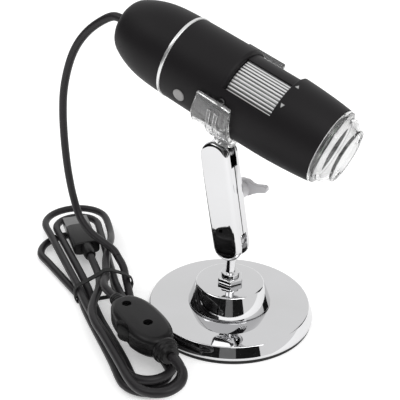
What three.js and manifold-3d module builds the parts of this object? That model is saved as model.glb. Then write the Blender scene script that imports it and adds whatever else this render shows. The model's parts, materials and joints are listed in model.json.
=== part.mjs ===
// A USB digital microscope on a weighted chrome stand, with its cord folded up beside the base.
// Millimetres, +Z up, +X towards the nose. The origin is the centre of the base's underside.

import * as THREE from "three";
import Module from "manifold-3d";

const wasm = await Module();
wasm.setup();

// Sizes.
const roundSides = 32;
const smallSides = 16;
const tinySides = 10;
const turnSteps = 24;
const seatGap = 0.1;
const runningGap = 0.05;
const pieceGap = 0.25;

// base, sizes from the photograph
const lipRadius = 35.6;
const lipHeight = 0.9;
const padInset = 0.4;
const padRadius = lipRadius - padInset;
const padHeight = 1.5;
const padEdge = 0.4;
const ridgeInset = 1.8;
const ridgeRadius = lipRadius - ridgeInset;
const ridgeFillet = 0.6;
const plateTop = 7.1;
const shellWall = 0.8;
const weightInset = 0.2;
const weightRadius = ridgeRadius - ridgeFillet - shellWall - weightInset;
const weightBore = 4.3;
const bossBottomRadius = 17.6;
const bossTopRadius = 14.1;
const bossTop = 16.7;
const bossFillet = 1.2;
const baseScrewHeadRadius = 5;
const baseScrewHeadHeight = 1.1;
const baseScrewLength = 8;
const screwSlotWidth = 1.2;
const screwSlotDepth = 0.5;

// stand stem and link arm
const stemRadius = 2;
const stemPinLength = 5.5;
const nutRadius = 5.8;
const nutHeight = 2.1;
const collarRadius = 3.9;
const collarHeight = 2;
const ballRadius = 3.8;
const dimpleRadius = 4.05;
const lowerBallHeight = 34.5;
const armLean = 10.6;
const armLength = 38.6;
const plateWidth = 12.8;
const plateThickness = 2.9;
const plateHalfGap = 2.3;
const plateFillet = 1.9;
const clampRadius = 1.5;
const clampBlindDepth = 1.4;
const clampReach = 14.4;
const clampHoleRadius = 1.75;
const washerRadius = 3.4;
const washerThickness = 0.7;
const wingHubRadius = 4;
const wingHubLength = 7.6;
const wingSpan = 24;
const wingHeight = 3.6;
const wingThickness = 2.2;
const springRadius = 2.35;
const springWire = 0.5;
const springTurns = 3;

// head: clip and barrel, z along the barrel axis, angles from the top towards the camera side
const barrelRadius = 16.5;
const headPitch = 19.4;
const clipWidth = 16;
const clipShift = -2.2;
const clipClearance = 0.1;
const clipInnerRadius = barrelRadius + clipClearance;
const clipWall = 2.1;
const nearJawAngle = 93;
const nearFlareAngle = 5;
const nearFlare = 1.4;
const farJawAngle = -50;
const clipBossRadius = 4.6;
const clipBossLength = 3;
const clipBossReach = clipInnerRadius + clipWall + clipBossLength;
const clipScrewRadius = 1.5;
const clipScrewGap = 1.6;
const clipScrewReach = clipInnerRadius + clipScrewGap;
const studNeckLength = 6.85;
const ballToAxis = clipBossReach + studNeckLength;
const jawRibPlaces = [-2.3, 0.8];
const jawRibWidth = 1;
const jawRibHeight = 0.7;
const jawRibStartAngle = 98;
const jawRibEndAngle = 150;

const ringPlace = -27.6;
const ringWidth = 1.3;
const ringProud = 0.2;
const ringRadius = barrelRadius + ringProud;
const rearLength = 28.7;
const rearWall = 2;
// the rear cap's outline: share of its length behind the ring, and share of the barrel's radius
const rearOutlineShares = [
  [0.18, 0.985],
  [0.35, 0.967],
  [0.51, 0.928],
  [0.67, 0.855],
  [0.805, 0.764],
  [0.91, 0.664],
  [0.97, 0.545],
];
const rearTipShare = 0.4;
const rearTipRadius = barrelRadius * rearTipShare;
const glandRadius = 3;
const glandTipRadius = 2.6;
const glandFlange = 4.4;
const glandFlangeThickness = 1.1;
const glandLength = 1.8;
const barrelEndInset = 0.1;
const rimPlace = 38.2;
const rimInset = 1.8;
const rimRadius = barrelRadius - rimInset;
// the front taper: place along the barrel and inset from its radius
const noseTaper = [
  [19, 0.15],
  [28, 0.7],
  [34.3, 1.3],
];
const barrelWall = 1.9;
const shellBore = barrelRadius - barrelWall;
const rimWall = 1.1;
const rimBore = rimRadius - rimWall;

// focus wheel in its recess; the recess is rolled a little away from the top
const recessAngle = -10;
const recessHalfAngle = 79;
const stripHalfAngle = 22;
const recessStart = -1.7;
const recessEnd = 18.2;
const recessDepth = 1.5;
const stripRadius = barrelRadius - recessDepth;
const grooveDepth = 1.4;
const grooveRadius = stripRadius - grooveDepth;
const collarWall = 0.7;
const collarBore = grooveRadius - collarWall;
const collarThickness = 2.85;
const wheelInset = 0.8;
const wheelRadius = stripRadius - wheelInset;
const wheelClearance = 0.15;
const wheelWall = 1.5;
const wheelRibCount = 40;
const wheelRibDepth = 0.35;
const wheelRibShares = [0.35, 0.65];
const zoomPlace = -17.6;
const zoomAngle = 113;
const zoomRadius = 2.5;
const zoomProud = 0.4;
const snapPlace = 0;
const snapAngle = 86;
const snapRadius = 1.75;
const snapProud = 1.1;
const snapFloor = 0.3;
const snapTravel = 0.45;
const snapDomeShares = [
  [0.85, 0.5],
  [0.5, 0.87],
];
const buttonSink = 1.5;
const buttonFoot = shellBore - buttonSink;
const buttonSwitchHeight = 1.8;
const buttonBoardDistance = buttonFoot - buttonSwitchHeight;
const buttonBoardThickness = 1;
const buttonBoardMargin = 0.4;
const noseFlangeInset = 0.2;
const noseFlangeRadius = rimRadius - noseFlangeInset;
const noseStepInset = 1.8;
const noseStepRadius = rimRadius - noseStepInset;
const noseEndInset = 4.3;
const noseEndRadius = rimRadius - noseEndInset;
const noseLength = 7.8;
const noseWall = 1.5;
const noseFlangeWidth = 1.5;
const noseStepWidth = 2.6;
const noseLipLength = 1.6;
const noseLipInset = 0.6;
const ledCount = 8;
const ledRadius = 1.5;
const ledInset = 4.6;
const ledCircle = rimBore - ledInset;
const ledLength = 3.4;
const ledDomeShares = [
  [1, 1],
  [0.8, 0.4],
  [0.4, 0.1],
];
const boardThickness = 1.2;
const carrierStart = 8;
const carrierFlange = 7;
const carrierLength = 14;
const carrierRadius = 7;
const carrierBore = 5.4;
const carrierLip = 1;
const lensThickness = 2;
const bezelWall = 0.9;
const bezelStart = 22.4;
const bezelShelf = 26.2;
const bezelShelfThickness = 1;
const bezelShelfReach = 1.2;
const ledBoardReach = 3.4;
const ledBoardBore = ledCircle - ledBoardReach;
const cameraBoardInset = 1.4;
const sensorSize = 8;
const sensorThickness = 1.4;

// folded cord: x along the fold and y across it, from the tie; z above the table
const cordDiameter = 3.5;
const strandPitch = 3.95;
const strandLow = 2.5;
const strandHigh = strandLow + strandPitch;
const strandThird = strandHigh + strandPitch;
const innerSlot = 5.95;
const outerSlot = innerSlot + strandPitch;
const seamGap = 0.3;
const tiePlace = [-51.8, -21.4];
const foldAngle = -38;
const nearLobePlace = 58;
const nearLobeShift = 4.8;
const nearLobeRightShift = 0.6;
const nearOpeningRight = 24;
const nearOpeningLeft = 4;
// each lobe: x, y, half width and height; near lobes run right to left, far lobes left to right
const nearLobes = [
  [nearLobePlace, nearLobeShift, 11.9, strandLow],
  [nearLobePlace, nearLobeShift, 7.3, strandLow],
  [nearLobePlace, nearLobeShift - nearLobeRightShift, 9.6, strandHigh],
];
const farLobes = [
  [-41.5, -4.6, 15.6, strandLow],
  [-57.6, 0.6, 10.3, strandHigh],
  [-62.5, 0.9, 15.2, strandHigh],
];
const rightSlots = [outerSlot, innerSlot, innerSlot];
const leftSlots = [-outerSlot, -innerSlot, -outerSlot];
const seam = [-14.2, 10.5, 11.6];
const seamDirection = [0.897, 0.218, -0.385];
const climbStart = 22;
const climbEnd = -16;
const lobeSteps = 12;
const strandSteps = 12;
const cordSides = 8;
const foldSides = 6;
const dimmerPlace = [43.4, 5.6, 13.7];
const dimmerAngle = 13.2;
const dimmerHalfLength = 17.5;
const dimmerHalfWidth = 8.8;
const dimmerHalfHeight = 4.9;
const dimmerWheelRadius = 5.2;
const dimmerWheelThickness = 3;
const dimmerWheelPlace = [1.2, -5.3];
const dimmerAxle = 1.5;
const dimmerScrewPlaces = [[-10.4, -0.8], [5.2, 0.1]];
const dimmerPower = 2.4;
const dimmerEdge = [
  [0.5, 0.1],
  [0.75, 0.8],
  [0.93, 1.9],
  [1, 3.4],
];
const axleEndLength = 1.6;
const thumbRadius = 9;
const thumbDepth = 1.7;
const dimmerScrewHeadRadius = 1.7;
const dimmerScrewHeadPlace = 3.9;
const dimmerScrewHeadHeight = 0.9;
const dimmerScrewRadius = 1;
const dimmerScrewDepth = 3.4;
const screwPocketGap = 0.2;
const reliefLength = 4.8;
// reliefs: radius, and share of the length from the dimmer outwards
const nearRelief = [
  [4.4, 0],
  [4.4, 0.36],
  [3.8, 0.4],
  [3.8, 0.68],
  [3.2, 0.72],
  [3.2, 1],
];
const farRelief = [
  [3.2, 0],
  [3.2, 0.2],
  [2.6, 0.3],
  [3, 0.4],
  [3, 0.5],
  [2.5, 0.62],
  [2.8, 0.75],
  [2.4, 1],
];
const plugAxisHeight = 8.2;
const plugStart = -31.5;
const plugLength = 20;
const plugHalfWidth = 6.2;
const plugHalfHeight = 3.4;
const plugPower = 4;
// the moulded body's ends: share of the length and inset
const plugBodyLevels = [
  [0, 1],
  [0.06, 0.25],
  [0.14, 0],
  [0.9, 0],
  [0.98, 0.3],
  [1, 0.8],
];
const plugReliefLength = 7.5;
// the plug's relief: radius, and share of the length from the cord to the body
const plugReliefLevels = [
  [2.5, 0],
  [2.9, 0.5],
  [3.1, 1],
];
const plugReliefSink = 0.5;
const plugShellLength = 9.5;
const plugShellWidth = 12;
const plugShellHeight = 4.5;
const plugShellWall = 0.35;
const tongueThickness = 1.7;
const tongueInset = 0.6;
const tieWidth = 2.6;
const tieThickness = 0.45;
const tieFlatShare = 1.4;
const tieUnderside = 0.05;
const tieCentre = [0.4, 6.2];
// the tie's inside round the strands: across the fold and above the table
const tieInside = [
  [-12.2, 2.6],
  [-11.4, 0.9],
  [-9.9, 0.5],
  [9.9, 0.5],
  [12.4, 2.2],
  [13.3, 5.8],
  [12.9, 8.2],
  [10, 10.6],
  [3.6, 13.8],
  [1, 13.9],
  [-2, 12.2],
  [-11.2, 8.6],
  [-12.2, 6.6],
];

const radians = Math.PI / 180;

// Helpers.
function material(color, roughness, metalness = 0, opacity = 1) {
  return new THREE.MeshStandardMaterial({ color, roughness, metalness, opacity, transparent: opacity < 1 });
}

const chrome = material(0xd8dadc, 0.08, 1);
const steel = material(0x9a9da0, 0.35, 1);
const rubber = material(0x1c1c1e, 0.8);
const blackPlastic = material(0x242426, 0.45);
const greyPlastic = material(0x8c8e90, 0.45);
const silverPlastic = material(0xc4c6c8, 0.3, 0.6);
const clearPlastic = material(0xeef2f4, 0.08, 0, 0.35);
const glass = material(0xbfd0dc, 0.03, 0, 0.5);
const boardGreen = material(0x1f5a34, 0.5);
const whiteLed = material(0xf6f6ee, 0.25);
const cordBlack = material(0x2c2b2c, 0.5);

// A turned piece about Z. The profile is a list of [radius, z] and closes on itself or on the axis.
function turned(profile, sides = roundSides) {
  const first = profile[0];
  const last = profile[profile.length - 1];
  const points = profile.map(([r, z]) => new THREE.Vector2(r, z));
  if (first[0] > 0 || last[0] > 0) {
    points.push(points[0].clone());
  }
  const geometry = new THREE.LatheGeometry(points, sides);
  geometry.rotateX(Math.PI / 2);
  return outward(geometry);
}

function indexed(geometry) {
  const place = geometry.getAttribute("position");
  const found = new Map();
  const points = [];
  const triangles = [];
  const corner = [];
  for (let i = 0; i < place.count; i += 1) {
    const at = [place.getX(i), place.getY(i), place.getZ(i)];
    const key = at.map((n) => Math.round(n * 1e4)).join(",");
    if (!found.has(key)) {
      found.set(key, points.length / 3);
      points.push(...at);
    }
    corner.push(found.get(key));
  }
  const count = geometry.index ? geometry.index.count : place.count;
  for (let i = 0; i < count; i += 3) {
    const [a, b, c] = [0, 1, 2].map((k) => corner[geometry.index ? geometry.index.getX(i + k) : i + k]);
    if (a !== b && b !== c && c !== a) {
      triangles.push(a, b, c);
    }
  }
  return { points, triangles };
}

function fromLists(points, triangles) {
  const geometry = new THREE.BufferGeometry();
  geometry.setAttribute("position", new THREE.Float32BufferAttribute(points, 3));
  geometry.setIndex(triangles);
  return geometry;
}

// Merge the corners and turn the faces outwards.
function outward(geometry) {
  const { points, triangles } = indexed(geometry);
  let volume = 0;
  const at = (i) => new THREE.Vector3(points[3 * i], points[3 * i + 1], points[3 * i + 2]);
  for (let i = 0; i < triangles.length; i += 3) {
    volume += at(triangles[i]).dot(at(triangles[i + 1]).cross(at(triangles[i + 2])));
  }
  if (volume < 0) {
    for (let i = 0; i < triangles.length; i += 3) {
      [triangles[i + 1], triangles[i + 2]] = [triangles[i + 2], triangles[i + 1]];
    }
  }
  return fromLists(points, triangles);
}

function solid(geometry) {
  const { points, triangles } = indexed(geometry);
  return new wasm.Manifold(new wasm.Mesh({
    numProp: 3,
    vertProperties: new Float32Array(points),
    triVerts: new Uint32Array(triangles),
  }));
}

function combined(operation, first, others) {
  let result = solid(first);
  for (const other of others) {
    result = operation === "cut" ? result.subtract(solid(other)) : result.add(solid(other));
  }
  const mesh = result.getMesh();
  return fromLists(Array.from(mesh.vertProperties), Array.from(mesh.triVerts));
}

const cut = (first, ...others) => combined("cut", first, others);
const joined = (first, ...others) => combined("join", first, others);

// A solid through a list of closed rings of points, all with the same count, capped at both ends.
function skinned(rings) {
  const count = rings[0].length;
  const points = rings.flat().flatMap((p) => [p.x, p.y, p.z]);
  const triangles = [];
  for (let i = 0; i + 1 < rings.length; i += 1) {
    for (let j = 0; j < count; j += 1) {
      const k = (j + 1) % count;
      const [a, b, c, d] = [i * count + j, i * count + k, (i + 1) * count + k, (i + 1) * count + j];
      triangles.push(a, b, c, a, c, d);
    }
  }
  for (const [ring, flip] of [[0, true], [rings.length - 1, false]]) {
    const centre = new THREE.Vector3();
    rings[ring].forEach((p) => centre.add(p));
    centre.divideScalar(count);
    const middle = points.length / 3;
    points.push(centre.x, centre.y, centre.z);
    for (let j = 0; j < count; j += 1) {
      const pair = [ring * count + j, ring * count + (j + 1) % count];
      triangles.push(...(flip ? [middle, pair[1], pair[0]] : [middle, pair[0], pair[1]]));
    }
  }
  return outward(fromLists(points, triangles));
}

function block(x, y, z) {
  return new THREE.BoxGeometry(x, y, z);
}

function named(name, geometry, look, group) {
  const flat = geometry.index ? geometry : outward(geometry);
  flat.computeVertexNormals();
  const mesh = new THREE.Mesh(flat, look);
  mesh.name = name;
  group.add(mesh);
  return mesh;
}

function placed(geometry, x, y, z) {
  return geometry.translate(x, y, z);
}

const object = new THREE.Group();
object.name = "usb_microscope";

// Base.
const shellBottom = padHeight + pieceGap;
const weightBottom = padHeight + seatGap;
const weightTop = plateTop - shellWall - pieceGap;
const lipTop = shellBottom + lipHeight;

named("foot_pad", turned([
  [0, 0],
  [padRadius - padEdge, 0],
  [padRadius, padEdge],
  [padRadius, padHeight],
  [0, padHeight],
]), rubber, object);

const headBottom = weightBottom + seatGap;
const headTop = headBottom + baseScrewHeadHeight;
const headPocket = baseScrewHeadRadius + pieceGap;
named("base_weight", turned([
  [headPocket, weightBottom],
  [weightRadius, weightBottom],
  [weightRadius, weightTop],
  [weightBore, weightTop],
  [weightBore, headTop + seatGap],
  [headPocket, headTop + seatGap],
]), steel, object);

named("base_shell", turned([
  [weightBore, plateTop - shellWall],
  [ridgeRadius - ridgeFillet - shellWall, plateTop - shellWall],
  [lipRadius - lipHeight - shellWall, lipTop],
  [lipRadius - lipHeight, shellBottom],
  [lipRadius, shellBottom],
  [lipRadius, lipTop],
  [ridgeRadius, plateTop - ridgeFillet],
  [ridgeRadius - ridgeFillet, plateTop],
  [weightBore, plateTop],
]), chrome, object);

const bossBottom = plateTop + seatGap;
const boreRadius = stemRadius + runningGap;
named("base_boss", turned([
  [boreRadius, bossBottom],
  [bossBottomRadius, bossBottom],
  [bossTopRadius, bossTop - bossFillet],
  [bossTopRadius - bossFillet, bossTop],
  [boreRadius, bossTop],
]), chrome, object);

const slot = placed(block(2 * baseScrewHeadRadius, screwSlotWidth, 2 * screwSlotDepth), 0, 0, headBottom);
named("base_screw", cut(turned([
  [0, headBottom],
  [baseScrewHeadRadius, headBottom],
  [baseScrewHeadRadius, headTop],
  [boreRadius - seatGap, headTop],
  [boreRadius - seatGap, headTop + baseScrewLength],
  [0, headTop + baseScrewLength],
], smallSides), slot), steel, object);

// Swivelling stem.
const nutBottom = bossTop + pieceGap;
const nutTop = nutBottom + nutHeight;
named("stud_nut", turned([
  [stemRadius + seatGap, nutBottom],
  [nutRadius, nutBottom],
  [nutRadius, nutTop],
  [stemRadius + seatGap, nutTop],
], smallSides), chrome, object);

// Half circle of a ball that sits on a stem, from the stem's edge to the far pole.
function ballProfile(radius, neckRadius, centre, steps = 12) {
  const start = Math.PI - Math.asin(neckRadius / radius);
  const profile = [];
  for (let i = 0; i <= steps; i += 1) {
    const angle = start * (1 - i / steps);
    profile.push([i === steps ? 0 : radius * Math.sin(angle), centre + radius * Math.cos(angle)]);
  }
  return profile;
}

const collarBottom = nutTop + seatGap;
named("lower_ball_stud", turned([
  [0, bossTop - stemPinLength],
  [stemRadius, bossTop - stemPinLength],
  [stemRadius, collarBottom],
  [collarRadius, collarBottom],
  [collarRadius, collarBottom + collarHeight],
  [stemRadius, collarBottom + collarHeight],
  ...ballProfile(ballRadius, stemRadius, lowerBallHeight),
], smallSides), steel, object);

// Link arm.
const arm = new THREE.Group();
arm.position.z = lowerBallHeight;
arm.rotation.y = -armLean * radians;
object.add(arm);

// One ring of the plate's outline at a distance y from the middle plane, inset by the given amount.
function plateRing(y, inset, steps = 14) {
  const radius = plateWidth / 2 - inset;
  const ring = [];
  for (const [centre, start] of [[armLength, 0], [0, Math.PI]]) {
    for (let i = 0; i <= steps; i += 1) {
      const angle = start + Math.PI * i / steps;
      ring.push(new THREE.Vector3(radius * Math.cos(angle), y, centre + radius * Math.sin(angle)));
    }
  }
  return ring;
}

function armPlate(side) {
  const inner = side * plateHalfGap;
  const outer = side * (plateHalfGap + plateThickness);
  const rings = [plateRing(inner, 0)];
  const steps = 4;
  for (let i = 0; i <= steps; i += 1) {
    const angle = (Math.PI / 2) * i / steps;
    const drop = plateFillet * (1 - Math.sin(angle));
    rings.push(plateRing(outer - side * drop, plateFillet * (1 - Math.cos(angle))));
  }
  const ball = () => new THREE.SphereGeometry(dimpleRadius, smallSides, tinySides);
  const balls = [0, armLength].map((z) => placed(ball(), 0, 0, z));
  return cut(skinned(rings), ...balls);
}

// A round bar or hole along Y at the middle of the arm.
function crossBar(radius, from, to, sides = smallSides) {
  const bar = turned([[0, from], [radius, from], [radius, to], [0, to]], sides);
  bar.rotateX(-Math.PI / 2);
  return placed(bar, 0, 0, armLength / 2);
}

const blindEnd = -(plateHalfGap + clampBlindDepth);
const plateOuter = plateHalfGap + plateThickness;
named("arm_plate_front", cut(
  armPlate(-1),
  crossBar(clampRadius + seatGap, blindEnd, 0),
), chrome, arm);
named("arm_plate_rear", cut(
  armPlate(1),
  crossBar(clampHoleRadius, 0, plateOuter + clampRadius),
), chrome, arm);
named("clamp_screw", crossBar(clampRadius, blindEnd + seatGap, clampReach, tinySides), steel, arm);

const washerPlace = plateOuter + seatGap;
named("clamp_washer", cut(
  crossBar(washerRadius, washerPlace, washerPlace + washerThickness),
  crossBar(clampHoleRadius, 0, clampReach),
), steel, arm);

// Points along a smooth curve at even distances.
function evenly(points, count) {
  return new THREE.CatmullRomCurve3(points, false, "centripetal").getSpacedPoints(count);
}

// A round tube along a list of points, its ends square to them.
function sweptTube(points, radius, sides, steps) {
  const section = new THREE.Shape();
  for (let i = 0; i < sides; i += 1) {
    const angle = 2 * Math.PI * i / sides;
    section[i ? "lineTo" : "moveTo"](radius * Math.cos(angle), radius * Math.sin(angle));
  }
  section.closePath();
  const extrudePath = new THREE.CatmullRomCurve3(points, false, "centripetal");
  return outward(new THREE.ExtrudeGeometry(section, { steps, extrudePath, bevelEnabled: false }));
}

const springPoints = [];
const springSteps = turnSteps * springTurns;
const springHalf = plateHalfGap - springWire / 2 - seatGap;
for (let i = 0; i <= springSteps; i += 1) {
  const angle = 2 * Math.PI * springTurns * i / springSteps;
  const along = -springHalf + 2 * springHalf * i / springSteps;
  springPoints.push(new THREE.Vector3(
    springRadius * Math.cos(angle),
    along,
    armLength / 2 + springRadius * Math.sin(angle),
  ));
}
named("clamp_spring", sweptTube(springPoints, springWire / 2, foldSides, springSteps), steel, arm);

const hubStart = washerPlace + washerThickness + seatGap;
const wingPlate = placed(block(wingSpan, wingThickness, wingHeight), 0, 0, armLength / 2);
placed(wingPlate, 0, hubStart + wingHubLength, 0);
named("wing_screw", cut(
  joined(crossBar(wingHubRadius, hubStart, hubStart + wingHubLength + wingThickness), wingPlate),
  crossBar(clampRadius + runningGap, hubStart - washerThickness, clampReach + runningGap),
), greyPlastic, arm);

// Head: stud and clip.
const head = new THREE.Group();
head.position.z = armLength;
head.rotation.y = (headPitch + armLean) * radians;
arm.add(head);

// The stud's screw ends inside the clip's boss.
const bossEnd = ballToAxis - clipBossReach;
const screwTop = ballToAxis - clipScrewReach;
named("upper_ball_stud", turned([
  [0, -ballRadius],
  ...ballProfile(ballRadius, stemRadius, 0).reverse().slice(1).map(([r, z]) => [r, -z]),
  [stemRadius, bossEnd - seatGap],
  [clipScrewRadius, bossEnd - seatGap],
  [clipScrewRadius, screwTop],
  [0, screwTop],
], smallSides), steel, head);

const barrelPlace = new THREE.Group();
barrelPlace.position.z = ballToAxis;
barrelPlace.setRotationFromAxisAngle(new THREE.Vector3(1, 0, 1).normalize(), Math.PI);
head.add(barrelPlace);

function around(radius, angle, z = 0) {
  return new THREE.Vector3(radius * Math.cos(angle * radians), radius * Math.sin(angle * radians), z);
}

// A round bar along the radius at an angle round the barrel.
function radialBar(radius, from, to, angle, z, sides = smallSides) {
  const bar = turned([[0, from], [radius, from], [radius, to], [0, to]], sides);
  bar.rotateY(Math.PI / 2);
  bar.rotateZ(angle * radians);
  return placed(bar, 0, 0, z);
}

// A band round the barrel between two radii and two angles, with an optional flare at its first end.
function band(inner, outer, start, end, from, to, steps, flareAngle = 0, flare = 0) {
  const inside = [];
  const outside = [];
  if (flareAngle > 0) {
    for (const share of [1, 1 / 2]) {
      inside.push(around(inner + flare * share, start - flareAngle * share));
      outside.push(around(outer + flare * share, start - flareAngle * share));
    }
  }
  for (let i = 0; i <= steps; i += 1) {
    const angle = start + (end - start) * i / steps;
    inside.push(around(inner, angle));
    outside.push(around(outer, angle));
  }
  const outline = [...inside, ...outside.reverse()].map((p) => new THREE.Vector2(p.x, p.y));
  const shape = new THREE.Shape(outline);
  const length = { depth: to - from, bevelEnabled: false };
  return placed(outward(new THREE.ExtrudeGeometry(shape, length)), 0, 0, from);
}

const clipOuterRadius = clipInnerRadius + clipWall;
const clipSteps = 36;
const clipBand = band(
  clipInnerRadius,
  clipOuterRadius,
  nearJawAngle,
  360 + farJawAngle,
  clipShift - clipWidth / 2,
  clipShift + clipWidth / 2,
  clipSteps,
  nearFlareAngle,
  nearFlare,
);
const ribSteps = 6;
const jawRibs = jawRibPlaces.map((place) => band(
  clipOuterRadius - clipWall / 2,
  clipOuterRadius + jawRibHeight,
  jawRibStartAngle,
  jawRibEndAngle,
  place - jawRibWidth / 2,
  place + jawRibWidth / 2,
  ribSteps,
));
const clipBoss = radialBar(clipBossRadius, clipOuterRadius - clipWall / 2, clipBossReach, 180, 0);
const clipBore = radialBar(
  clipScrewRadius + runningGap,
  clipInnerRadius - clipWall,
  clipBossReach + clipWall,
  180,
  0,
);
named("clip", cut(joined(clipBand, clipBoss, ...jawRibs), clipBore), clearPlastic, barrelPlace);

// Barrel.
const barrel = new THREE.Group();
barrelPlace.add(barrel);

const ringBack = ringPlace - ringWidth / 2;
const ringFront = ringPlace + ringWidth / 2;
const rearEnd = ringPlace - rearLength;

const rearOutline = rearOutlineShares.map(([back, out]) => [barrelRadius * out, ringPlace - rearLength * back]);
const rearInside = rearOutline.slice(0, -1).map(([r, z]) => [r - rearWall, z]);
named("rear_cap", turned([
  [glandRadius + seatGap, rearEnd],
  [rearTipRadius, rearEnd],
  ...rearOutline.reverse(),
  [barrelRadius - barrelEndInset, ringBack - seatGap],
  [shellBore, ringBack - seatGap],
  ...rearInside,
  [rearTipRadius - seatGap, rearEnd + rearWall],
  [glandRadius + seatGap, rearEnd + rearWall],
]), blackPlastic, barrel);

named("trim_ring", turned([
  [shellBore, ringBack],
  [ringRadius, ringBack],
  [ringRadius, ringFront],
  [shellBore, ringFront],
]), silverPlastic, barrel);

const shellSides = [
  [barrelRadius - barrelEndInset, ringFront + seatGap],
  [barrelRadius, ringFront + clipWidth / 2],
  [barrelRadius, clipWidth / 2],
  ...noseTaper.map(([z, inset]) => [barrelRadius - inset, z]),
  [rimRadius, rimPlace],
];
const wheelStart = recessStart + collarThickness - pieceGap * 2;
const wheelSpaceStart = wheelStart - pieceGap;
const wheelSpaceEnd = recessEnd + pieceGap;
const wheelBore = wheelRadius + wheelClearance;
const collarStart = wheelSpaceStart - collarThickness;

// One cutter for the barrel wall, between two angles and two places along it, from a radius outwards.
function wallCutter(inner, low, high, from, to) {
  return band(inner, barrelRadius + clipWall, low, high, from, to, 12);
}

const recessLow = recessAngle - recessHalfAngle;
const recessHigh = recessAngle + recessHalfAngle;
const stripLow = recessAngle - stripHalfAngle;
const stripHigh = recessAngle + stripHalfAngle;
const behindWall = collarBore - clipWall;
named("barrel_shell", cut(
  turned([
    [shellBore, ringFront + seatGap],
    ...shellSides,
    [rimBore, rimPlace],
    [rimBore, wheelSpaceEnd],
    [wheelBore, wheelSpaceEnd],
    [wheelBore, wheelSpaceStart],
    [collarBore, wheelSpaceStart],
    [collarBore, collarStart],
    [shellBore, collarStart],
  ]),
  wallCutter(stripRadius, recessLow, recessHigh, recessStart, recessEnd),
  wallCutter(grooveRadius, recessLow, recessHigh, recessStart, wheelStart),
  wallCutter(behindWall, stripHigh, recessHigh, wheelSpaceStart, recessEnd),
  wallCutter(behindWall, recessLow, stripLow, wheelSpaceStart, recessEnd),
  radialBar(zoomRadius + seatGap, behindWall, barrelRadius + clipWall, zoomAngle, zoomPlace),
  radialBar(snapRadius + seatGap, wheelBore + snapFloor, barrelRadius + clipWall, snapAngle, snapPlace),
), blackPlastic, barrel);

// The focus wheel: a ring with ridges along the axis.
const wheelInnerRadius = wheelRadius - wheelWall;
const wheelOutline = [];
for (let i = 0; i < wheelRibCount; i += 1) {
  const step = 360 / wheelRibCount;
  wheelOutline.push(around(wheelRadius - wheelRibDepth, step * i));
  for (const share of wheelRibShares) {
    wheelOutline.push(around(wheelRadius, step * (i + share)));
  }
}
const wheelShape = new THREE.Shape(wheelOutline.map((p) => new THREE.Vector2(p.x, p.y)));
const wheelHole = [];
for (let i = 0; i < roundSides; i += 1) {
  const p = around(wheelInnerRadius, -360 * i / roundSides);
  wheelHole.push(new THREE.Vector2(p.x, p.y));
}
wheelShape.holes.push(new THREE.Path(wheelHole));
const wheelSolid = outward(new THREE.ExtrudeGeometry(wheelShape, {
  depth: recessEnd - wheelStart,
  bevelEnabled: false,
}));
named("focus_wheel", placed(wheelSolid, 0, 0, wheelStart), silverPlastic, barrel);

named("lens_carrier", turned([
  [carrierBore, carrierStart],
  [wheelInnerRadius - seatGap, carrierStart],
  [wheelInnerRadius - seatGap, carrierStart + carrierFlange],
  [carrierRadius, carrierStart + carrierFlange],
  [carrierRadius, carrierStart + carrierLength],
  [carrierBore - carrierLip, carrierStart + carrierLength],
  [carrierBore - carrierLip, carrierStart + carrierLength - carrierLip],
  [carrierBore, carrierStart + carrierLength - carrierLip],
]), blackPlastic, barrel);

const lensTop = carrierStart + carrierLength - carrierLip - seatGap;
named("lens", turned([
  [0, lensTop - lensThickness],
  [carrierBore - seatGap, lensTop - lensThickness / 2],
  [carrierBore - seatGap, lensTop],
  [0, lensTop],
], smallSides), glass, barrel);

const bezelOuter = rimBore - seatGap;
const bezelInner = bezelOuter - bezelWall;
const shelfInner = bezelInner - bezelShelfReach;
named("front_bezel", turned([
  [bezelInner, bezelStart],
  [bezelOuter, bezelStart],
  [bezelOuter, bezelShelf + bezelShelfThickness],
  [shelfInner, bezelShelf + bezelShelfThickness],
  [shelfInner, bezelShelf],
  [bezelInner, bezelShelf],
]), blackPlastic, barrel);

const ledBoardPlace = bezelShelf + bezelShelfThickness + seatGap;
const ledBoardTop = ledBoardPlace + boardThickness;
const ledBoardRadius = rimBore - 2 * seatGap;
named("led_board", turned([
  [ledBoardBore, ledBoardPlace],
  [ledBoardRadius, ledBoardPlace],
  [ledBoardRadius, ledBoardTop],
  [ledBoardBore, ledBoardTop],
]), boardGreen, barrel);

for (let i = 0; i < ledCount; i += 1) {
  const at = around(ledCircle, 360 * (i + 0.5) / ledCount);
  const led = turned([
    [0, ledBoardTop + seatGap],
    [ledRadius, ledBoardTop + seatGap],
    ...ledDomeShares.map(([r, down]) => [ledRadius * r, ledBoardTop + ledLength - ledRadius * down]),
    [0, ledBoardTop + ledLength],
  ], tinySides);
  named(`led_${i + 1}`, placed(led, at.x, at.y, 0), whiteLed, barrel);
}

const noseEnd = rimPlace + noseLength;
const skirtStart = ledBoardTop + seatGap;
const skirtInner = rimBore - 2 * seatGap - noseWall;
const flangeTop = rimPlace + seatGap + noseFlangeWidth;
const stepTop = flangeTop + noseStepWidth;
const lipStart = noseEnd - noseLipLength;
named("nose_cap", turned([
  [skirtInner, skirtStart],
  [rimBore - 2 * seatGap, skirtStart],
  [rimBore - 2 * seatGap, rimPlace + seatGap],
  [noseFlangeRadius, rimPlace + seatGap],
  [noseFlangeRadius, flangeTop],
  [noseStepRadius, flangeTop],
  [noseStepRadius, stepTop],
  [noseEndRadius + noseLipInset, lipStart],
  [noseEndRadius, noseEnd],
  [noseEndRadius - noseWall, noseEnd],
  [noseEndRadius - noseWall, lipStart],
  [noseStepRadius - noseWall, stepTop - noseWall],
  [skirtInner, flangeTop],
]), clearPlastic, barrel);

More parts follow.
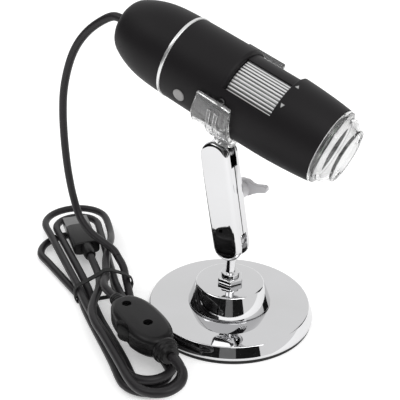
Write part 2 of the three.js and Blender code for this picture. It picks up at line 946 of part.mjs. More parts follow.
const cameraBoardPlace = ringFront + cameraBoardInset;
const cameraBoardTop = cameraBoardPlace + boardThickness;
named("camera_board", turned([
  [0, cameraBoardPlace],
  [shellBore - pieceGap, cameraBoardPlace],
  [shellBore - pieceGap, cameraBoardTop],
  [0, cameraBoardTop],
]), boardGreen, barrel);
named("sensor", placed(
  block(sensorSize, sensorSize, sensorThickness),
  0, 0, cameraBoardTop + seatGap + sensorThickness / 2,
), blackPlastic, barrel);

const buttonBoardStart = cameraBoardTop + pieceGap;
const buttonBoardEnd = collarStart - pieceGap;
const buttonBoardLength = buttonBoardEnd - buttonBoardStart;
const buttonBoardHalfWidth = Math.sqrt((shellBore - buttonBoardMargin) ** 2 - buttonBoardDistance ** 2);
const buttonBoard = placed(
  block(buttonBoardThickness, 2 * buttonBoardHalfWidth, buttonBoardLength),
  buttonBoardDistance - buttonBoardThickness / 2, 0, (buttonBoardStart + buttonBoardEnd) / 2,
);
buttonBoard.rotateZ((zoomAngle + snapAngle) / 2 * radians);
named("button_board", buttonBoard, boardGreen, barrel);

named("zoom_button", radialBar(
  zoomRadius, buttonFoot, barrelRadius + zoomProud, zoomAngle, zoomPlace,
), greyPlastic, barrel);

const snapFoot = wheelBore + snapFloor + snapTravel;
const snapDome = turned([
  [0, snapFoot],
  [snapRadius, snapFoot],
  [snapRadius, barrelRadius - seatGap],
  ...snapDomeShares.map(([r, up]) => [snapRadius * r, barrelRadius + snapProud * up]),
  [0, barrelRadius + snapProud],
], smallSides);
snapDome.rotateY(Math.PI / 2);
snapDome.rotateZ(snapAngle * radians);
named("snap_button", placed(snapDome, 0, 0, snapPlace), blackPlastic, barrel);

named("cord_gland", turned([
  [0, rearEnd - glandLength],
  [glandTipRadius, rearEnd - glandLength],
  [glandRadius, rearEnd],
  [glandRadius, rearEnd + rearWall + seatGap],
  [glandFlange, rearEnd + rearWall + seatGap],
  [glandFlange, rearEnd + rearWall + seatGap + glandFlangeThickness],
  [0, rearEnd + rearWall + seatGap + glandFlangeThickness],
], smallSides), rubber, barrel);

// Folded cord.
const fold = new THREE.Group();
fold.position.set(tiePlace[0], tiePlace[1], 0);
fold.rotation.z = foldAngle * radians;
object.add(fold);

const vectors = (list) => list.map(([x, y, z]) => new THREE.Vector3(x, y, z));
const smooth = (x) => {
  const t = Math.min(1, Math.max(0, x));
  return t * t * (3 - 2 * t);
};

function lobe([x, y, width, z], near) {
  const radius = near ? width : -width;
  const points = [];
  for (let i = 0; i <= lobeSteps; i += 1) {
    const angle = Math.PI * i / lobeSteps;
    points.push([x + radius * Math.sin(angle), y + radius * Math.cos(angle), z]);
  }
  return points;
}

// A strand from one lobe's end to the next, through its slot at the tie.
function strand(from, slot, to, steps, rising = false) {
  const [near, far] = from[0] > to[0] ? [from, to] : [to, from];
  const opening = slot > 0 ? nearOpeningRight : nearOpeningLeft;
  const points = [];
  for (let i = 1; i < steps; i += 1) {
    const x = from[0] + (to[0] - from[0]) * i / steps;
    const y = x < 0
      ? slot + (far[1] - slot) * x / far[0]
      : slot + (near[1] - slot) * smooth((x - opening) / (near[0] - opening));
    const rise = rising ? smooth((x - climbStart) / (climbEnd - climbStart)) : 0;
    points.push([x, y, from[2] + (to[2] - from[2]) * rise]);
  }
  return points;
}

const fromSeam = (distance) => seam.map((n, i) => n + seamDirection[i] * distance);
const lobeEnd = ([x, y, width, z], side) => [x, y + side * width, z];

const foldPath = [
  fromSeam(seamGap),
  fromSeam(seamGap + cordDiameter / 2),
  fromSeam(seamGap + cordDiameter),
  [-7, 11.6, 8.7],
  [-2, 11.1, 6.9],
  [5, 10.5, 4.9],
  [11, 10, 3.2],
  [16, outerSlot, strandLow],
];
foldPath.push(...strand(foldPath[foldPath.length - 1], outerSlot, lobeEnd(nearLobes[0], 1), 6));
for (let turn = 0; turn < farLobes.length; turn += 1) {
  const near = nearLobes[turn];
  const far = farLobes[turn];
  foldPath.push(...lobe(near, true));
  foldPath.push(...strand(lobeEnd(near, -1), leftSlots[turn], lobeEnd(far, -1), strandSteps, turn === 1));
  foldPath.push(...lobe(far, false));
  if (turn + 1 < farLobes.length) {
    const next = lobeEnd(nearLobes[turn + 1], 1);
    foldPath.push(...strand(lobeEnd(far, 1), rightSlots[turn + 1], next, strandSteps));
  }
}
const dimmerTurn = new THREE.Vector3(Math.cos(dimmerAngle * radians), Math.sin(dimmerAngle * radians), 0);
const onDimmerAxis = (x) => [
  dimmerPlace[0] + dimmerTurn.x * x,
  dimmerPlace[1] + dimmerTurn.y * x,
  dimmerPlace[2],
];
const reliefEnd = dimmerHalfLength + seamGap + reliefLength;
foldPath.push(
  [-54, 15.7, strandHigh],
  [-43, 14.2, strandHigh + 0.9],
  [-34, 12, strandHigh + 2.9],
  [-28, 9.9, strandThird],
  [-22, 7.6, strandThird + 0.1],
  [-14, 5, strandThird + 0.2],
  [-6, 3.2, strandThird + 0.4],
  [1, 1.6, strandThird + 1.3],
  [6.5, -0.6, strandThird + 2.6],
  [12, -1.5, dimmerPlace[2] - 0.1],
  onDimmerAxis(-reliefEnd - seamGap - cordDiameter),
  onDimmerAxis(-reliefEnd - seamGap - cordDiameter / 2),
  onDimmerAxis(-reliefEnd - seamGap),
);

// The last stretch: from the dimmer round to the plug in the middle of the fold.
const tailPath = [
  onDimmerAxis(reliefEnd + seamGap),
  onDimmerAxis(reliefEnd + seamGap + cordDiameter / 2),
  onDimmerAxis(reliefEnd + seamGap + cordDiameter),
  [75.6, 12, 13.5],
  [80, 9.6, 12.9],
  [81.9, 4.4, 12.1],
  [79.8, -1, 11.3],
  [75.1, -4.7, 10.8],
  [69, -6.2, 10.5],
  [60, -7, 10.4],
  [50, -7.9, 10.4],
  [40, -8.9, 10.4],
  [31, -10, 10.4],
  [23, -9.6, 10.4],
  [15, -6.8, 10.3],
  [7, -3.2, 9.6],
  [0, -1.2, 8.8],
  [-7, -0.2, 8.3],
  [-13, 0, plugAxisHeight],
  [plugStart + plugReliefLength + seamGap + cordDiameter, 0, plugAxisHeight],
  [plugStart + plugReliefLength + seamGap, 0, plugAxisHeight],
];

// The free stretch, in the object's own axes: from the gland down to the fold.
object.updateMatrixWorld(true);
const glandEnd = new THREE.Vector3(0, 0, rearEnd - glandLength - seamGap).applyMatrix4(barrel.matrixWorld);
const glandNext = new THREE.Vector3(0, 0, rearEnd - glandLength - seamGap - cordDiameter / 2)
  .applyMatrix4(barrel.matrixWorld);
const seamWorld = (distance) => new THREE.Vector3(...fromSeam(distance)).applyMatrix4(fold.matrixWorld);
const leadPath = [
  glandEnd,
  glandNext,
  ...vectors([
    [-57.3, 0, 119.7],
    [-60.2, 0, 118.9],
    [-63.2, 0, 117.4],
    [-67, 0, 115.1],
    [-71.5, 0, 111.7],
    [-76.5, 0, 106.6],
    [-80.9, 0, 100],
    [-84.6, 0, 91.3],
    [-87, 0, 82.5],
    [-88.1, 0, 73.5],
    [-88.4, 0, 64],
    [-88.1, 0, 54],
    [-87.1, 0, 43],
    [-85.2, 0.1, 32.2],
    [-81.2, -0.8, 23.4],
    [-75.1, -1.7, 18.2],
    [-69, -2.2, 15.8],
    [-64.2, -2.6, 14.6],
  ]),
  seamWorld(-cordDiameter),
  seamWorld(0),
];

// The least gap between a tube's own stretches that lie further apart along it than the given length.
function leastSelfGap(points, diameter) {
  const length = new THREE.CatmullRomCurve3(points, false, "centripetal").getLength();
  const samples = evenly(points, Math.round(length));
  const apart = Math.round(3 * diameter);
  let least = Infinity;
  for (let i = 0; i < samples.length; i += 1) {
    for (let j = i + apart; j < samples.length; j += 1) {
      least = Math.min(least, samples[i].distanceTo(samples[j]));
    }
  }
  return { length, gap: least - diameter };
}

const foldPoints = vectors(foldPath);
const tailPoints = vectors(tailPath);
const routes = [
  ["cord_lead", leadPath],
  ["cord_hank", foldPoints],
  ["cord_tail", tailPoints],
];
for (const [name, points] of routes) {
  const { length, gap } = leastSelfGap(points, cordDiameter);
  console.log(`${name}: length ${length.toFixed(1)} mm, least gap to itself ${gap.toFixed(2)} mm`);
}
const cordRadius = cordDiameter / 2;
named("cord_lead", sweptTube(leadPath, cordRadius, cordSides, 28), cordBlack, object);
named("cord_hank", sweptTube(foldPoints, cordRadius, foldSides, 190), cordBlack, fold);
named("cord_tail", sweptTube(tailPoints, cordRadius, cordSides, 30), cordBlack, fold);

// Dimmer on the cord.
const dimmer = new THREE.Group();
dimmer.position.set(...dimmerPlace);
dimmer.rotation.z = dimmerAngle * radians;
fold.add(dimmer);

// A rounded outline in one plane: a superellipse with the given half sizes.
function roundedRing(halfX, halfY, power, count, place) {
  const ring = [];
  for (let i = 0; i < count; i += 1) {
    const angle = 2 * Math.PI * i / count;
    const [c, s] = [Math.cos(angle), Math.sin(angle)];
    ring.push(place(
      halfX * Math.sign(c) * Math.abs(c) ** (2 / power),
      halfY * Math.sign(s) * Math.abs(s) ** (2 / power),
    ));
  }
  return ring;
}

// The edge's levels are shares of the half height, each with its inset, from the parting plane outwards.
function dimmerHalf(side) {
  const levels = [[seatGap / dimmerHalfHeight, 0], ...dimmerEdge];
  return skinned(levels.map(([height, inset]) => roundedRing(
    dimmerHalfLength - inset,
    dimmerHalfWidth - inset,
    dimmerPower,
    roundSides,
    (x, y) => new THREE.Vector3(x, y, side * height * dimmerHalfHeight),
  )));
}

function uprightBar(radius, from, to, x, y, sides = smallSides) {
  return placed(turned([[0, from], [radius, from], [radius, to], [0, to]], sides), x, y, 0);
}

const [wheelX, wheelY] = dimmerWheelPlace;
const halfWheel = dimmerWheelThickness / 2;
const wheelPocket = halfWheel + pieceGap;
const axleReach = halfWheel + axleEndLength;
const overTop = 2 * dimmerHalfHeight;
const thumbY = thumbDepth - dimmerHalfWidth - thumbRadius;
const dimmerCuts = [
  uprightBar(dimmerWheelRadius + pieceGap, -wheelPocket, wheelPocket, wheelX, wheelY),
  uprightBar(dimmerAxle + runningGap, -axleReach - seatGap, axleReach + seatGap, wheelX, wheelY),
  uprightBar(thumbRadius, -overTop, overTop, wheelX, thumbY, roundSides),
];
for (const [x, y] of dimmerScrewPlaces) {
  const pocketRadius = dimmerScrewHeadRadius + screwPocketGap;
  const boreStart = -dimmerScrewDepth - seatGap;
  dimmerCuts.push(uprightBar(pocketRadius, dimmerScrewHeadPlace - seatGap, overTop, x, y));
  dimmerCuts.push(uprightBar(dimmerScrewRadius + seatGap, boreStart, dimmerScrewHeadPlace, x, y));
}
named("dimmer_top", cut(dimmerHalf(1), ...dimmerCuts), blackPlastic, dimmer);
named("dimmer_bottom", cut(dimmerHalf(-1), ...dimmerCuts), blackPlastic, dimmer);
named("dimmer_wheel", placed(turned([
  [0, -axleReach],
  [dimmerAxle, -axleReach],
  [dimmerAxle, -halfWheel],
  [dimmerWheelRadius, -halfWheel],
  [dimmerWheelRadius, halfWheel],
  [dimmerAxle, halfWheel],
  [dimmerAxle, axleReach],
  [0, axleReach],
]), wheelX, wheelY, 0), rubber, dimmer);
dimmerScrewPlaces.forEach(([x, y], i) => {
  named(`dimmer_screw_${i + 1}`, placed(turned([
    [0, -dimmerScrewDepth],
    [dimmerScrewRadius, -dimmerScrewDepth],
    [dimmerScrewRadius, dimmerScrewHeadPlace],
    [dimmerScrewHeadRadius, dimmerScrewHeadPlace],
    [dimmerScrewHeadRadius, dimmerScrewHeadPlace + dimmerScrewHeadHeight],
    [0, dimmerScrewHeadPlace + dimmerScrewHeadHeight],
  ], tinySides), x, y, 0), steel, dimmer);
});

// Reliefs at the dimmer's ends: rings along the cord.
function relief(profile, side) {
  const start = dimmerHalfLength + seamGap;
  const rings = profile.map(([r, share]) => [r, start + share * reliefLength]);
  const piece = turned([[0, rings[0][1]], ...rings, [0, rings[rings.length - 1][1]]], smallSides);
  return piece.rotateY(side * Math.PI / 2);
}
named("dimmer_relief_near", relief(nearRelief, 1), blackPlastic, dimmer);
named("dimmer_relief_far", relief(farRelief, -1), blackPlastic, dimmer);

// Plug.
const plug = new THREE.Group();
plug.position.set(plugStart, 0, plugAxisHeight);
plug.rotation.z = Math.PI;
fold.add(plug);

const plugBodySides = 24;
const plugBody = skinned(plugBodyLevels.map(([share, inset]) => roundedRing(
  plugHalfWidth - inset,
  plugHalfHeight - inset,
  plugPower,
  plugBodySides,
  (y, z) => new THREE.Vector3(share * plugLength, y, z),
)));
const plugReliefSpan = plugReliefLength + plugReliefSink;
const plugRelief = turned([
  [0, -plugReliefLength],
  ...plugReliefLevels.map(([r, share]) => [r, -plugReliefLength + plugReliefSpan * share]),
  [0, plugReliefSink],
], smallSides).rotateY(Math.PI / 2);
named("plug_body", joined(plugBody, plugRelief), blackPlastic, plug);

const shellStart = plugLength + seatGap;
const shellOutline = new THREE.Shape();
const halfShell = [plugShellWidth / 2, plugShellHeight / 2];
shellOutline.moveTo(-halfShell[0], -halfShell[1]);
shellOutline.lineTo(halfShell[0], -halfShell[1]);
shellOutline.lineTo(halfShell[0], halfShell[1]);
shellOutline.lineTo(-halfShell[0], halfShell[1]);
const innerShell = halfShell.map((n) => n - plugShellWall);
shellOutline.holes.push(new THREE.Path([
  new THREE.Vector2(-innerShell[0], -innerShell[1]),
  new THREE.Vector2(-innerShell[0], innerShell[1]),
  new THREE.Vector2(innerShell[0], innerShell[1]),
  new THREE.Vector2(innerShell[0], -innerShell[1]),
]));
const plugShell = new THREE.ExtrudeGeometry(shellOutline, { depth: plugShellLength, bevelEnabled: false });
plugShell.rotateX(Math.PI / 2);
plugShell.rotateZ(Math.PI / 2);
named("plug_shell", placed(outward(plugShell), shellStart, 0, 0), steel, plug);
const tongueLength = plugShellLength - tongueInset;
named("plug_tongue", placed(
  block(tongueLength, 2 * innerShell[0] - 2 * seatGap, tongueThickness),
  shellStart + tongueLength / 2, 0, innerShell[1] - seatGap - tongueThickness / 2,
), rubber, plug);

// Wire tie round the fold.
const tieMiddle = new THREE.Vector2(...tieCentre);
const tieHole = tieInside.map(([y, z]) => new THREE.Vector2(y, z));
const tieOuter = tieHole.map((p) => {
  const away = p.clone().sub(tieMiddle).normalize().multiplyScalar(tieThickness);
  return new THREE.Vector2(p.x + away.x, Math.max(tieUnderside, p.y + away.y * tieFlatShare));
});
const tieShape = new THREE.Shape(tieOuter);
tieShape.holes.push(new THREE.Path([...tieHole].reverse()));
const tie = new THREE.ExtrudeGeometry(tieShape, { depth: tieWidth, bevelEnabled: false });
tie.rotateX(Math.PI / 2);
tie.rotateZ(Math.PI / 2);
named("twist_tie", placed(outward(tie), -tieWidth / 2, 0, 0), rubber, fold);

export default object;
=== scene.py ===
"""A USB digital microscope on its chrome stand, its cord folded up beside the base."""
import json
import math

import bmesh
import bpy
from mathutils import Matrix, Vector

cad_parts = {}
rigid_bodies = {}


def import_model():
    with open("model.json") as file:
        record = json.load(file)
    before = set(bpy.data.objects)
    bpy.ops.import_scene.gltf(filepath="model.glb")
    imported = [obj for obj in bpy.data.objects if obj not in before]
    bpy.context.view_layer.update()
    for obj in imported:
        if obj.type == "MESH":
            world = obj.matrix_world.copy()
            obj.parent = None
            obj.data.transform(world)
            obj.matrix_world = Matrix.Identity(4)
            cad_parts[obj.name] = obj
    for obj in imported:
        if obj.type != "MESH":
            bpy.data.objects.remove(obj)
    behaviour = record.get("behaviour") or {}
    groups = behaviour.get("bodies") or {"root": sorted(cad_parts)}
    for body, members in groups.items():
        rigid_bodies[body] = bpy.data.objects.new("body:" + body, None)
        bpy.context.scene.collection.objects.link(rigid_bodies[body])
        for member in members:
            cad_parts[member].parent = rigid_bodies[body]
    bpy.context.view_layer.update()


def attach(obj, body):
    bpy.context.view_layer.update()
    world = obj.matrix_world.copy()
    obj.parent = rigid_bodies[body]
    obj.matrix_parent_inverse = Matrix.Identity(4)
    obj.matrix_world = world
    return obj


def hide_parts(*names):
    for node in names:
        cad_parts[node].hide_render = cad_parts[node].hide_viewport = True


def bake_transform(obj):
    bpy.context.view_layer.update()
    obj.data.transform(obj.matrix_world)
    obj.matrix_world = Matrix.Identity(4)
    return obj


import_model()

MM = 0.001
# Points nearer than this, in millimetres, are one point.
MERGE = 1e-4


def turn(axis, degrees):
    return Matrix.Rotation(math.radians(degrees), 4, axis)


def shift(x, y, z):
    return Matrix.Translation((x, y, z))


# Places of the main groups, in millimetres and degrees.
LOWER_BALL = 34.5
ARM_LENGTH = 38.6
ARM_LEAN = 10.6
HEAD_PITCH = 19.4
BALL_TO_AXIS = 28.55
FOLD_PLACE = (-51.8, -21.4, 0)
FOLD_TURN = -38
DIMMER_PLACE = (43.4, 5.6, 13.7)
DIMMER_TURN = 13.2
PLUG_X = -31.5
PLUG_HEIGHT = 8.2
STAND = Matrix()
ARM = shift(0, 0, LOWER_BALL) @ turn("Y", -ARM_LEAN)
HEAD = ARM @ shift(0, 0, ARM_LENGTH) @ turn("Y", HEAD_PITCH + ARM_LEAN)
BARREL = HEAD @ shift(0, 0, BALL_TO_AXIS) @ turn(Vector((1, 0, 1)).normalized(), 180)
FOLD = shift(*FOLD_PLACE) @ turn("Z", FOLD_TURN)
DIMMER = FOLD @ shift(*DIMMER_PLACE) @ turn("Z", DIMMER_TURN)
PLUG = FOLD @ shift(PLUG_X, 0, PLUG_HEIGHT) @ turn("Z", 180)

# The camera stands where the photograph was taken.
SENSOR_WIDTH = 36
FOCAL_LENGTH = 70.15
NEAREST_SEEN = 0.01
lens = bpy.data.cameras.new("camera")
lens.sensor_width = SENSOR_WIDTH
lens.lens = FOCAL_LENGTH
lens.clip_start = NEAREST_SEEN
camera = bpy.data.objects.new("camera", lens)
bpy.context.scene.collection.objects.link(camera)
camera.matrix_world = Matrix((
    (0.8429, -0.2515, 0.4756, 0.13706),
    (0.5377, 0.3662, -0.7594, -0.24387),
    (0.0168, 0.8959, 0.4439, 0.19242),
    (0, 0, 0, 1),
))
bpy.context.scene.camera = camera


# Finishes.
class ShaderMaths:
    """A value inside a material that takes part in ordinary sums."""

    def __init__(self, tree, socket=None):
        self.tree = tree
        self.socket = socket

    def node(self, kind, settings, sockets, output=0):
        made = self.tree.nodes.new(kind)
        for name, value in settings.items():
            setattr(made, name, value)
        for name, value in sockets.items():
            if isinstance(value, ShaderMaths):
                self.tree.links.new(value.socket, made.inputs[name])
            else:
                made.inputs[name].default_value = value
        return ShaderMaths(self.tree, made.outputs[output])

    def maths(self, operation, first, second=0.0):
        return self.node("ShaderNodeMath", {"operation": operation}, {0: first, 1: second})

    def __add__(self, other):
        return self.maths("ADD", self, other)

    def __sub__(self, other):
        return self.maths("SUBTRACT", self, other)

    def __rsub__(self, other):
        return self.maths("SUBTRACT", other, self)

    def __mul__(self, other):
        return self.maths("MULTIPLY", self, other)

    __radd__ = __add__
    __rmul__ = __mul__

    def between(self, low, high):
        """0 below low and 1 above high."""
        sockets = {"Value": self, "From Min": low, "From Max": high}
        return self.node("ShaderNodeMapRange", {"clamp": True}, sockets)

    def mix(self, first, second):
        return self.node("ShaderNodeMix", {"data_type": "RGBA"}, {0: self, 6: first, 7: second}, 2)


def grey(level, tint=(0, 0, 0)):
    """A colour from a 0-255 screen level and a small tint on it."""
    levels = [(level + t) / 255 for t in tint]
    linear = [n / 12.92 if n < 0.04045 else ((n + 0.055) / 1.055) ** 2.4 for n in levels]
    return (*linear, 1)


class Finish:
    """A material in the making, with the spot on the piece in millimetres from its place."""

    def __init__(self, name, place=STAND, **sockets):
        self.material = bpy.data.materials.new(name)
        self.material.use_nodes = True
        self.tree = self.material.node_tree
        self.shader = self.tree.nodes["Principled BSDF"]
        back = place.inverted()
        self.spot = ShaderMaths(self.tree).node("ShaderNodeMapping", {}, {
            "Vector": ShaderMaths(self.tree).node("ShaderNodeTexCoord", {}, {}, "Object"),
            "Scale": (1 / MM, 1 / MM, 1 / MM),
            "Rotation": back.to_euler(),
            "Location": back.to_translation(),
        })
        for name, value in sockets.items():
            self.set(name.replace("_", " ").title().replace("Ior", "IOR"), value)

    def set(self, name, value):
        socket = self.shader.inputs[name]
        if isinstance(value, ShaderMaths):
            self.tree.links.new(value.socket, socket)
        else:
            socket.default_value = value

    def vectors(self, operation, first, second):
        return self.spot.node("ShaderNodeVectorMath", {"operation": operation}, {0: first, 1: second})

    def noise(self, size, detail=2.0, stretch=(1, 1, 1)):
        """Soft noise whose features are about the given size in millimetres."""
        spot = self.vectors("MULTIPLY", self.spot, tuple(n / size for n in stretch))
        return self.spot.node("ShaderNodeTexNoise", {}, {"Vector": spot, "Scale": 1.0, "Detail": detail})

    def bump(self, height, depth):
        """Lets a height of 0 to 1 stand out by the given depth in millimetres."""
        self.set("Normal", self.spot.node("ShaderNodeBump", {}, {
            "Height": height,
            "Distance": depth * MM,
            "Strength": 1.0,
        }))


def polished_chrome():
    """Chrome with faint smears on it."""
    finish = Finish("polished_chrome", metallic=1.0)
    cloud = finish.noise(26, 3)
    smear = finish.noise(3.5, 4, (1, 1, 0.35))
    finish.set("Base Color", cloud.mix(grey(200), grey(209, (0, 0, 2))))
    finish.set("Roughness", 0.03 + 0.035 * smear.between(0.42, 0.7) * cloud)
    finish.bump(finish.noise(9, 1), 0.004)
    return finish.material


def turned_steel(name, level, rough):
    """Steel with the fine lines of the lathe."""
    finish = Finish(name, metallic=1.0)
    lines = finish.noise(0.12, 2, (0.05, 0.05, 1))
    finish.set("Base Color", finish.noise(4).mix(grey(level - 8), grey(level + 8)))
    finish.set("Roughness", rough * (0.8 + 0.4 * lines))
    finish.bump(lines, 0.004)
    return finish.material


def moulded(name, level, rough, grain=0.22, depth=0.012, tint=(0, 0, 0), shine=0.5):
    """A moulded plastic with the fine grain that the mould leaves on it."""
    finish = Finish(name, specular_ior_level=shine)
    patch = finish.noise(14, 3)
    finish.set("Base Color", patch.mix(grey(level - 2, tint), grey(level + 3, tint)))
    speck = finish.noise(grain, 2)
    finish.set("Roughness", rough + 0.08 * patch - 0.05 * speck)
    finish.bump(speck, depth)
    return finish.material


def clear(name, rough, clearness, level):
    """Clear polycarbonate with a slight haze."""
    finish = Finish(name, base_color=grey(level), ior=1.42, transmission_weight=clearness)
    haze = finish.noise(5, 3)
    finish.set("Roughness", rough + 0.03 * haze.between(0.5, 0.8))
    finish.bump(finish.noise(4, 1), 0.01)
    return finish.material


CHROME = polished_chrome()
STEEL = turned_steel("turned_steel", level=170, rough=0.22)
# Painted shade: this steel is darkened so that the lid screws read as the shade at the bottom of their
# pockets.
POCKET_SHADE_STEEL = turned_steel("steel_darkened_as_pocket_shade", level=62, rough=0.36)
PLUG_STEEL = turned_steel("plug_steel", level=120, rough=0.3)
LIGHT_GREY = moulded("light_grey_plastic", level=196, rough=0.42, grain=0.3, depth=0.006, tint=(0, -1, 1))
SOFT_BLACK = moulded(
    "soft_touch_black", level=15, rough=0.5, grain=0.16, depth=0.008, tint=(1, -1, 1), shine=0.18,
)
BLACK = moulded("black_plastic", level=24, rough=0.38, grain=0.25, depth=0.01, shine=0.3)
GREY = moulded("grey_plastic", level=128, rough=0.4, grain=0.3, depth=0.006, tint=(1, 0, 0))
SATIN = moulded(
    "satin_dimmer_plastic", level=16, rough=0.34, grain=0.3, depth=0.014, tint=(0, -1, 0), shine=0.22,
)
CORD = moulded("cord_jacket", level=26, rough=0.4, grain=0.5, depth=0.006, tint=(1, -1, 1), shine=0.28)
RUBBER = moulded("rubber_foot", level=26, rough=0.7, grain=0.3, depth=0.02, shine=0.3)
PRINT = moulded("printed_grey", level=150, rough=0.5)
CLEAR = clear("clear_polycarbonate", rough=0.01, clearness=0.94, level=250)
CLEAR_NOSE = clear("clear_nose", rough=0.02, clearness=0.96, level=234)
GLOSSY = moulded("glossy_black", level=20, rough=0.06, grain=0.5, depth=0.002, shine=0.9)


def silver(name, painted_shade_below, lacquer_from):
    """Silver lacquer with painted shade: dark grey below the first radius and plain lacquer from the
    second one.
    """
    finish = Finish(name, BARREL, metallic=0.85)
    fleck = finish.noise(0.18, 2)
    across = finish.vectors("MULTIPLY", finish.spot, (1, 1, 0))
    radius = finish.spot.node("ShaderNodeVectorMath", {"operation": "LENGTH"}, {0: across}, 1)
    lacquer = fleck.mix(grey(204), grey(226))
    # Painted shade: the grey(70) below the first radius stands for the shade deep in grooves and gaps.
    finish.set("Base Color", radius.between(painted_shade_below, lacquer_from).mix(grey(70), lacquer))
    finish.set("Roughness", 0.26 + 0.08 * fleck)
    finish.bump(fleck, 0.004)
    return finish.material


def board():
    """Green solder mask with the shallow lines of the tracks under it."""
    finish = Finish("circuit_board", BARREL, coat_weight=0.4, coat_roughness=0.2)
    tracks = finish.noise(2.2, 0).between(0.47, 0.53)
    finish.set("Base Color", tracks.mix(grey(50, (-25, 25, -12)), grey(60, (-25, 40, -12))))
    finish.set("Roughness", 0.45 - 0.1 * tracks)
    finish.bump(tracks, 0.03)
    return finish.material


def lens_glass():
    """Clear glass with a trace of blue."""
    finish = Finish("lens_glass", BARREL, ior=1.52, transmission_weight=1.0, roughness=0.0)
    finish.set("Base Color", finish.noise(6).mix(grey(250), grey(244, (-6, 0, 6))))
    return finish.material


def led_resin():
    """The warm milky resin of a small lamp."""
    finish = Finish("led_resin", BARREL, ior=1.5, transmission_weight=0.3)
    finish.set("Base Color", finish.noise(2).mix(grey(246, (2, 2, -8)), grey(238)))
    finish.set("Roughness", 0.12 + 0.1 * finish.noise(1))
    return finish.material


# Painted shade: the trim band's silver goes dark grey on its sides where they run into the gaps between
# the shells.
SILVER_WITH_PAINTED_SHADE = silver("silver_lacquer_painted_gap_shade", 15, 16)
# Painted shade: the wheel's silver goes dark grey towards the foot of each groove between the ridges.
RIDGED_WITH_PAINTED_SHADE = silver("silver_ridges_painted_groove_shade", 13.78, 14.12)
BOARD = board()
GLASS = lens_glass()
LED = led_resin()


# Shapes, in millimetres about the piece's own axes.
def around(radius, degrees, z=0):
    return Vector((radius * math.cos(math.radians(degrees)), radius * math.sin(math.radians(degrees)), z))


def section(inner, outer, bottom, top):
    """The four (radius, height) corners of a plain ring."""
    return [(inner, bottom), (outer, bottom), (outer, top), (inner, top)]


def turned(profile, steps, degrees=360):
    """A profile of (radius, height) points spun about Z, closed on itself or on the axis."""
    shape = bmesh.new()
    line = [shape.verts.new((r, 0, z)) for r, z in profile]
    pairs = list(zip(line, line[1:]))
    if profile[0][0] > 0 or profile[-1][0] > 0:
        pairs.append((line[-1], line[0]))
    edges = [shape.edges.new(pair) for pair in pairs]
    whole = degrees == 360
    bmesh.ops.spin(
        shape, geom=line + edges, cent=(0, 0, 0), axis=(0, 0, 1),
        angle=math.radians(degrees), steps=steps, use_merge=whole,
    )
    bmesh.ops.remove_doubles(shape, verts=shape.verts, dist=MERGE)
    bmesh.ops.recalc_face_normals(shape, faces=shape.faces)
    return shape


def bar(radius, start, end, steps=48):
    """A round bar along Z."""
    return turned(section(0, radius, start, end), steps)


def soften(shape, width, segments=3, degrees=30, chosen=None):
    """Rounds the edges that turn by more than the given angle."""
    limit = math.radians(degrees)
    edges = [
        edge for edge in shape.edges
        if len(edge.link_faces) == 2 and edge.calc_face_angle(0) > limit
        and (chosen is None or chosen(edge))
    ]
    bmesh.ops.bevel(
        shape, geom=edges, offset=width, offset_type="OFFSET", segments=segments,
        profile=0.5, affect="EDGES", clamp_overlap=True, material=-1,
    )
    return shape


def moved(shape, matrix):
    shape.transform(matrix)
    return shape


def pulled_up(shape, depth):
    """A flat shape made solid by pulling its face up along Z."""
    pulled = bmesh.ops.extrude_face_region(shape, geom=list(shape.faces))["geom"]
    tops = [part for part in pulled if isinstance(part, bmesh.types.BMVert)]
    bmesh.ops.translate(shape, verts=tops, vec=(0, 0, depth))
    bmesh.ops.recalc_face_normals(shape, faces=shape.faces)
    return shape


def prism(outline, depth):
    """An outline of (x, y) points pulled up along Z."""
    shape = bmesh.new()
    shape.faces.new([shape.verts.new((x, y, 0)) for x, y in outline])
    return pulled_up(shape, depth)


def rounded_outline(half_x, half_y, power, count):
    """An oval outline that turns squarer as the power grows."""
    outline = []
    for i in range(count):
        c, s = math.cos(2 * math.pi * i / count), math.sin(2 * math.pi * i / count)
        outline.append((
            half_x * math.copysign(abs(c) ** (2 / power), c),
            half_y * math.copysign(abs(s) ** (2 / power), s),
        ))
    return outline


def block(x, y, z):
    shape = bmesh.new()
    bmesh.ops.create_cube(shape, size=1, matrix=Matrix.Diagonal((x, y, z, 1)))
    return shape


def mesh_of(shape, name):
    mesh = bpy.data.meshes.new(name)
    shape.to_mesh(mesh)
    shape.free()
    return mesh


def combined(shape, others, operation):
    """The shape with others cut from it or joined to it."""
    scene = bpy.context.scene.collection
    body = bpy.data.objects.new("body", mesh_of(shape, "body"))
    scene.objects.link(body)
    tools = []
    for other in others:
        tool = bpy.data.objects.new("tool", mesh_of(other, "tool"))
        scene.objects.link(tool)
        tools.append(tool)
        step = body.modifiers.new("step", "BOOLEAN")
        step.operation = operation
        step.solver = "EXACT"
        step.object = tool
    graph = bpy.context.evaluated_depsgraph_get()
    result = bmesh.new()
    result.from_mesh(body.evaluated_get(graph).data)
    for thing in [body, *tools]:
        mesh = thing.data
        bpy.data.objects.remove(thing)
        bpy.data.meshes.remove(mesh)
    bmesh.ops.remove_doubles(result, verts=result.verts, dist=MERGE)
    return result


def cut(shape, *others):
    return combined(shape, others, "DIFFERENCE")


def joined(shape, *others):
    return combined(shape, others, "UNION")


def beside(*shapes):
    """Several closed shapes in one mesh, none touching another."""
    whole = bmesh.new()
    for shape in shapes:
        mesh = mesh_of(shape, "part")
        whole.from_mesh(mesh)
        bpy.data.meshes.remove(mesh)
    return whole


def piece(name, shape, place, look, body, stands_for=(), crease=32):
    """Puts a shape in its place as a finished piece that moves with a body."""
    shape.transform(Matrix.Scale(MM, 4) @ place)
    mesh = mesh_of(shape, name)
    mesh.shade_smooth()
    mesh.set_sharp_from_angle(angle=math.radians(crease))
    mesh.materials.append(look)
    made = bpy.data.objects.new(name, mesh)
    bpy.context.scene.collection.objects.link(made)
    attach(made, body)
    if stands_for:
        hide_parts(*stands_for)
    return made


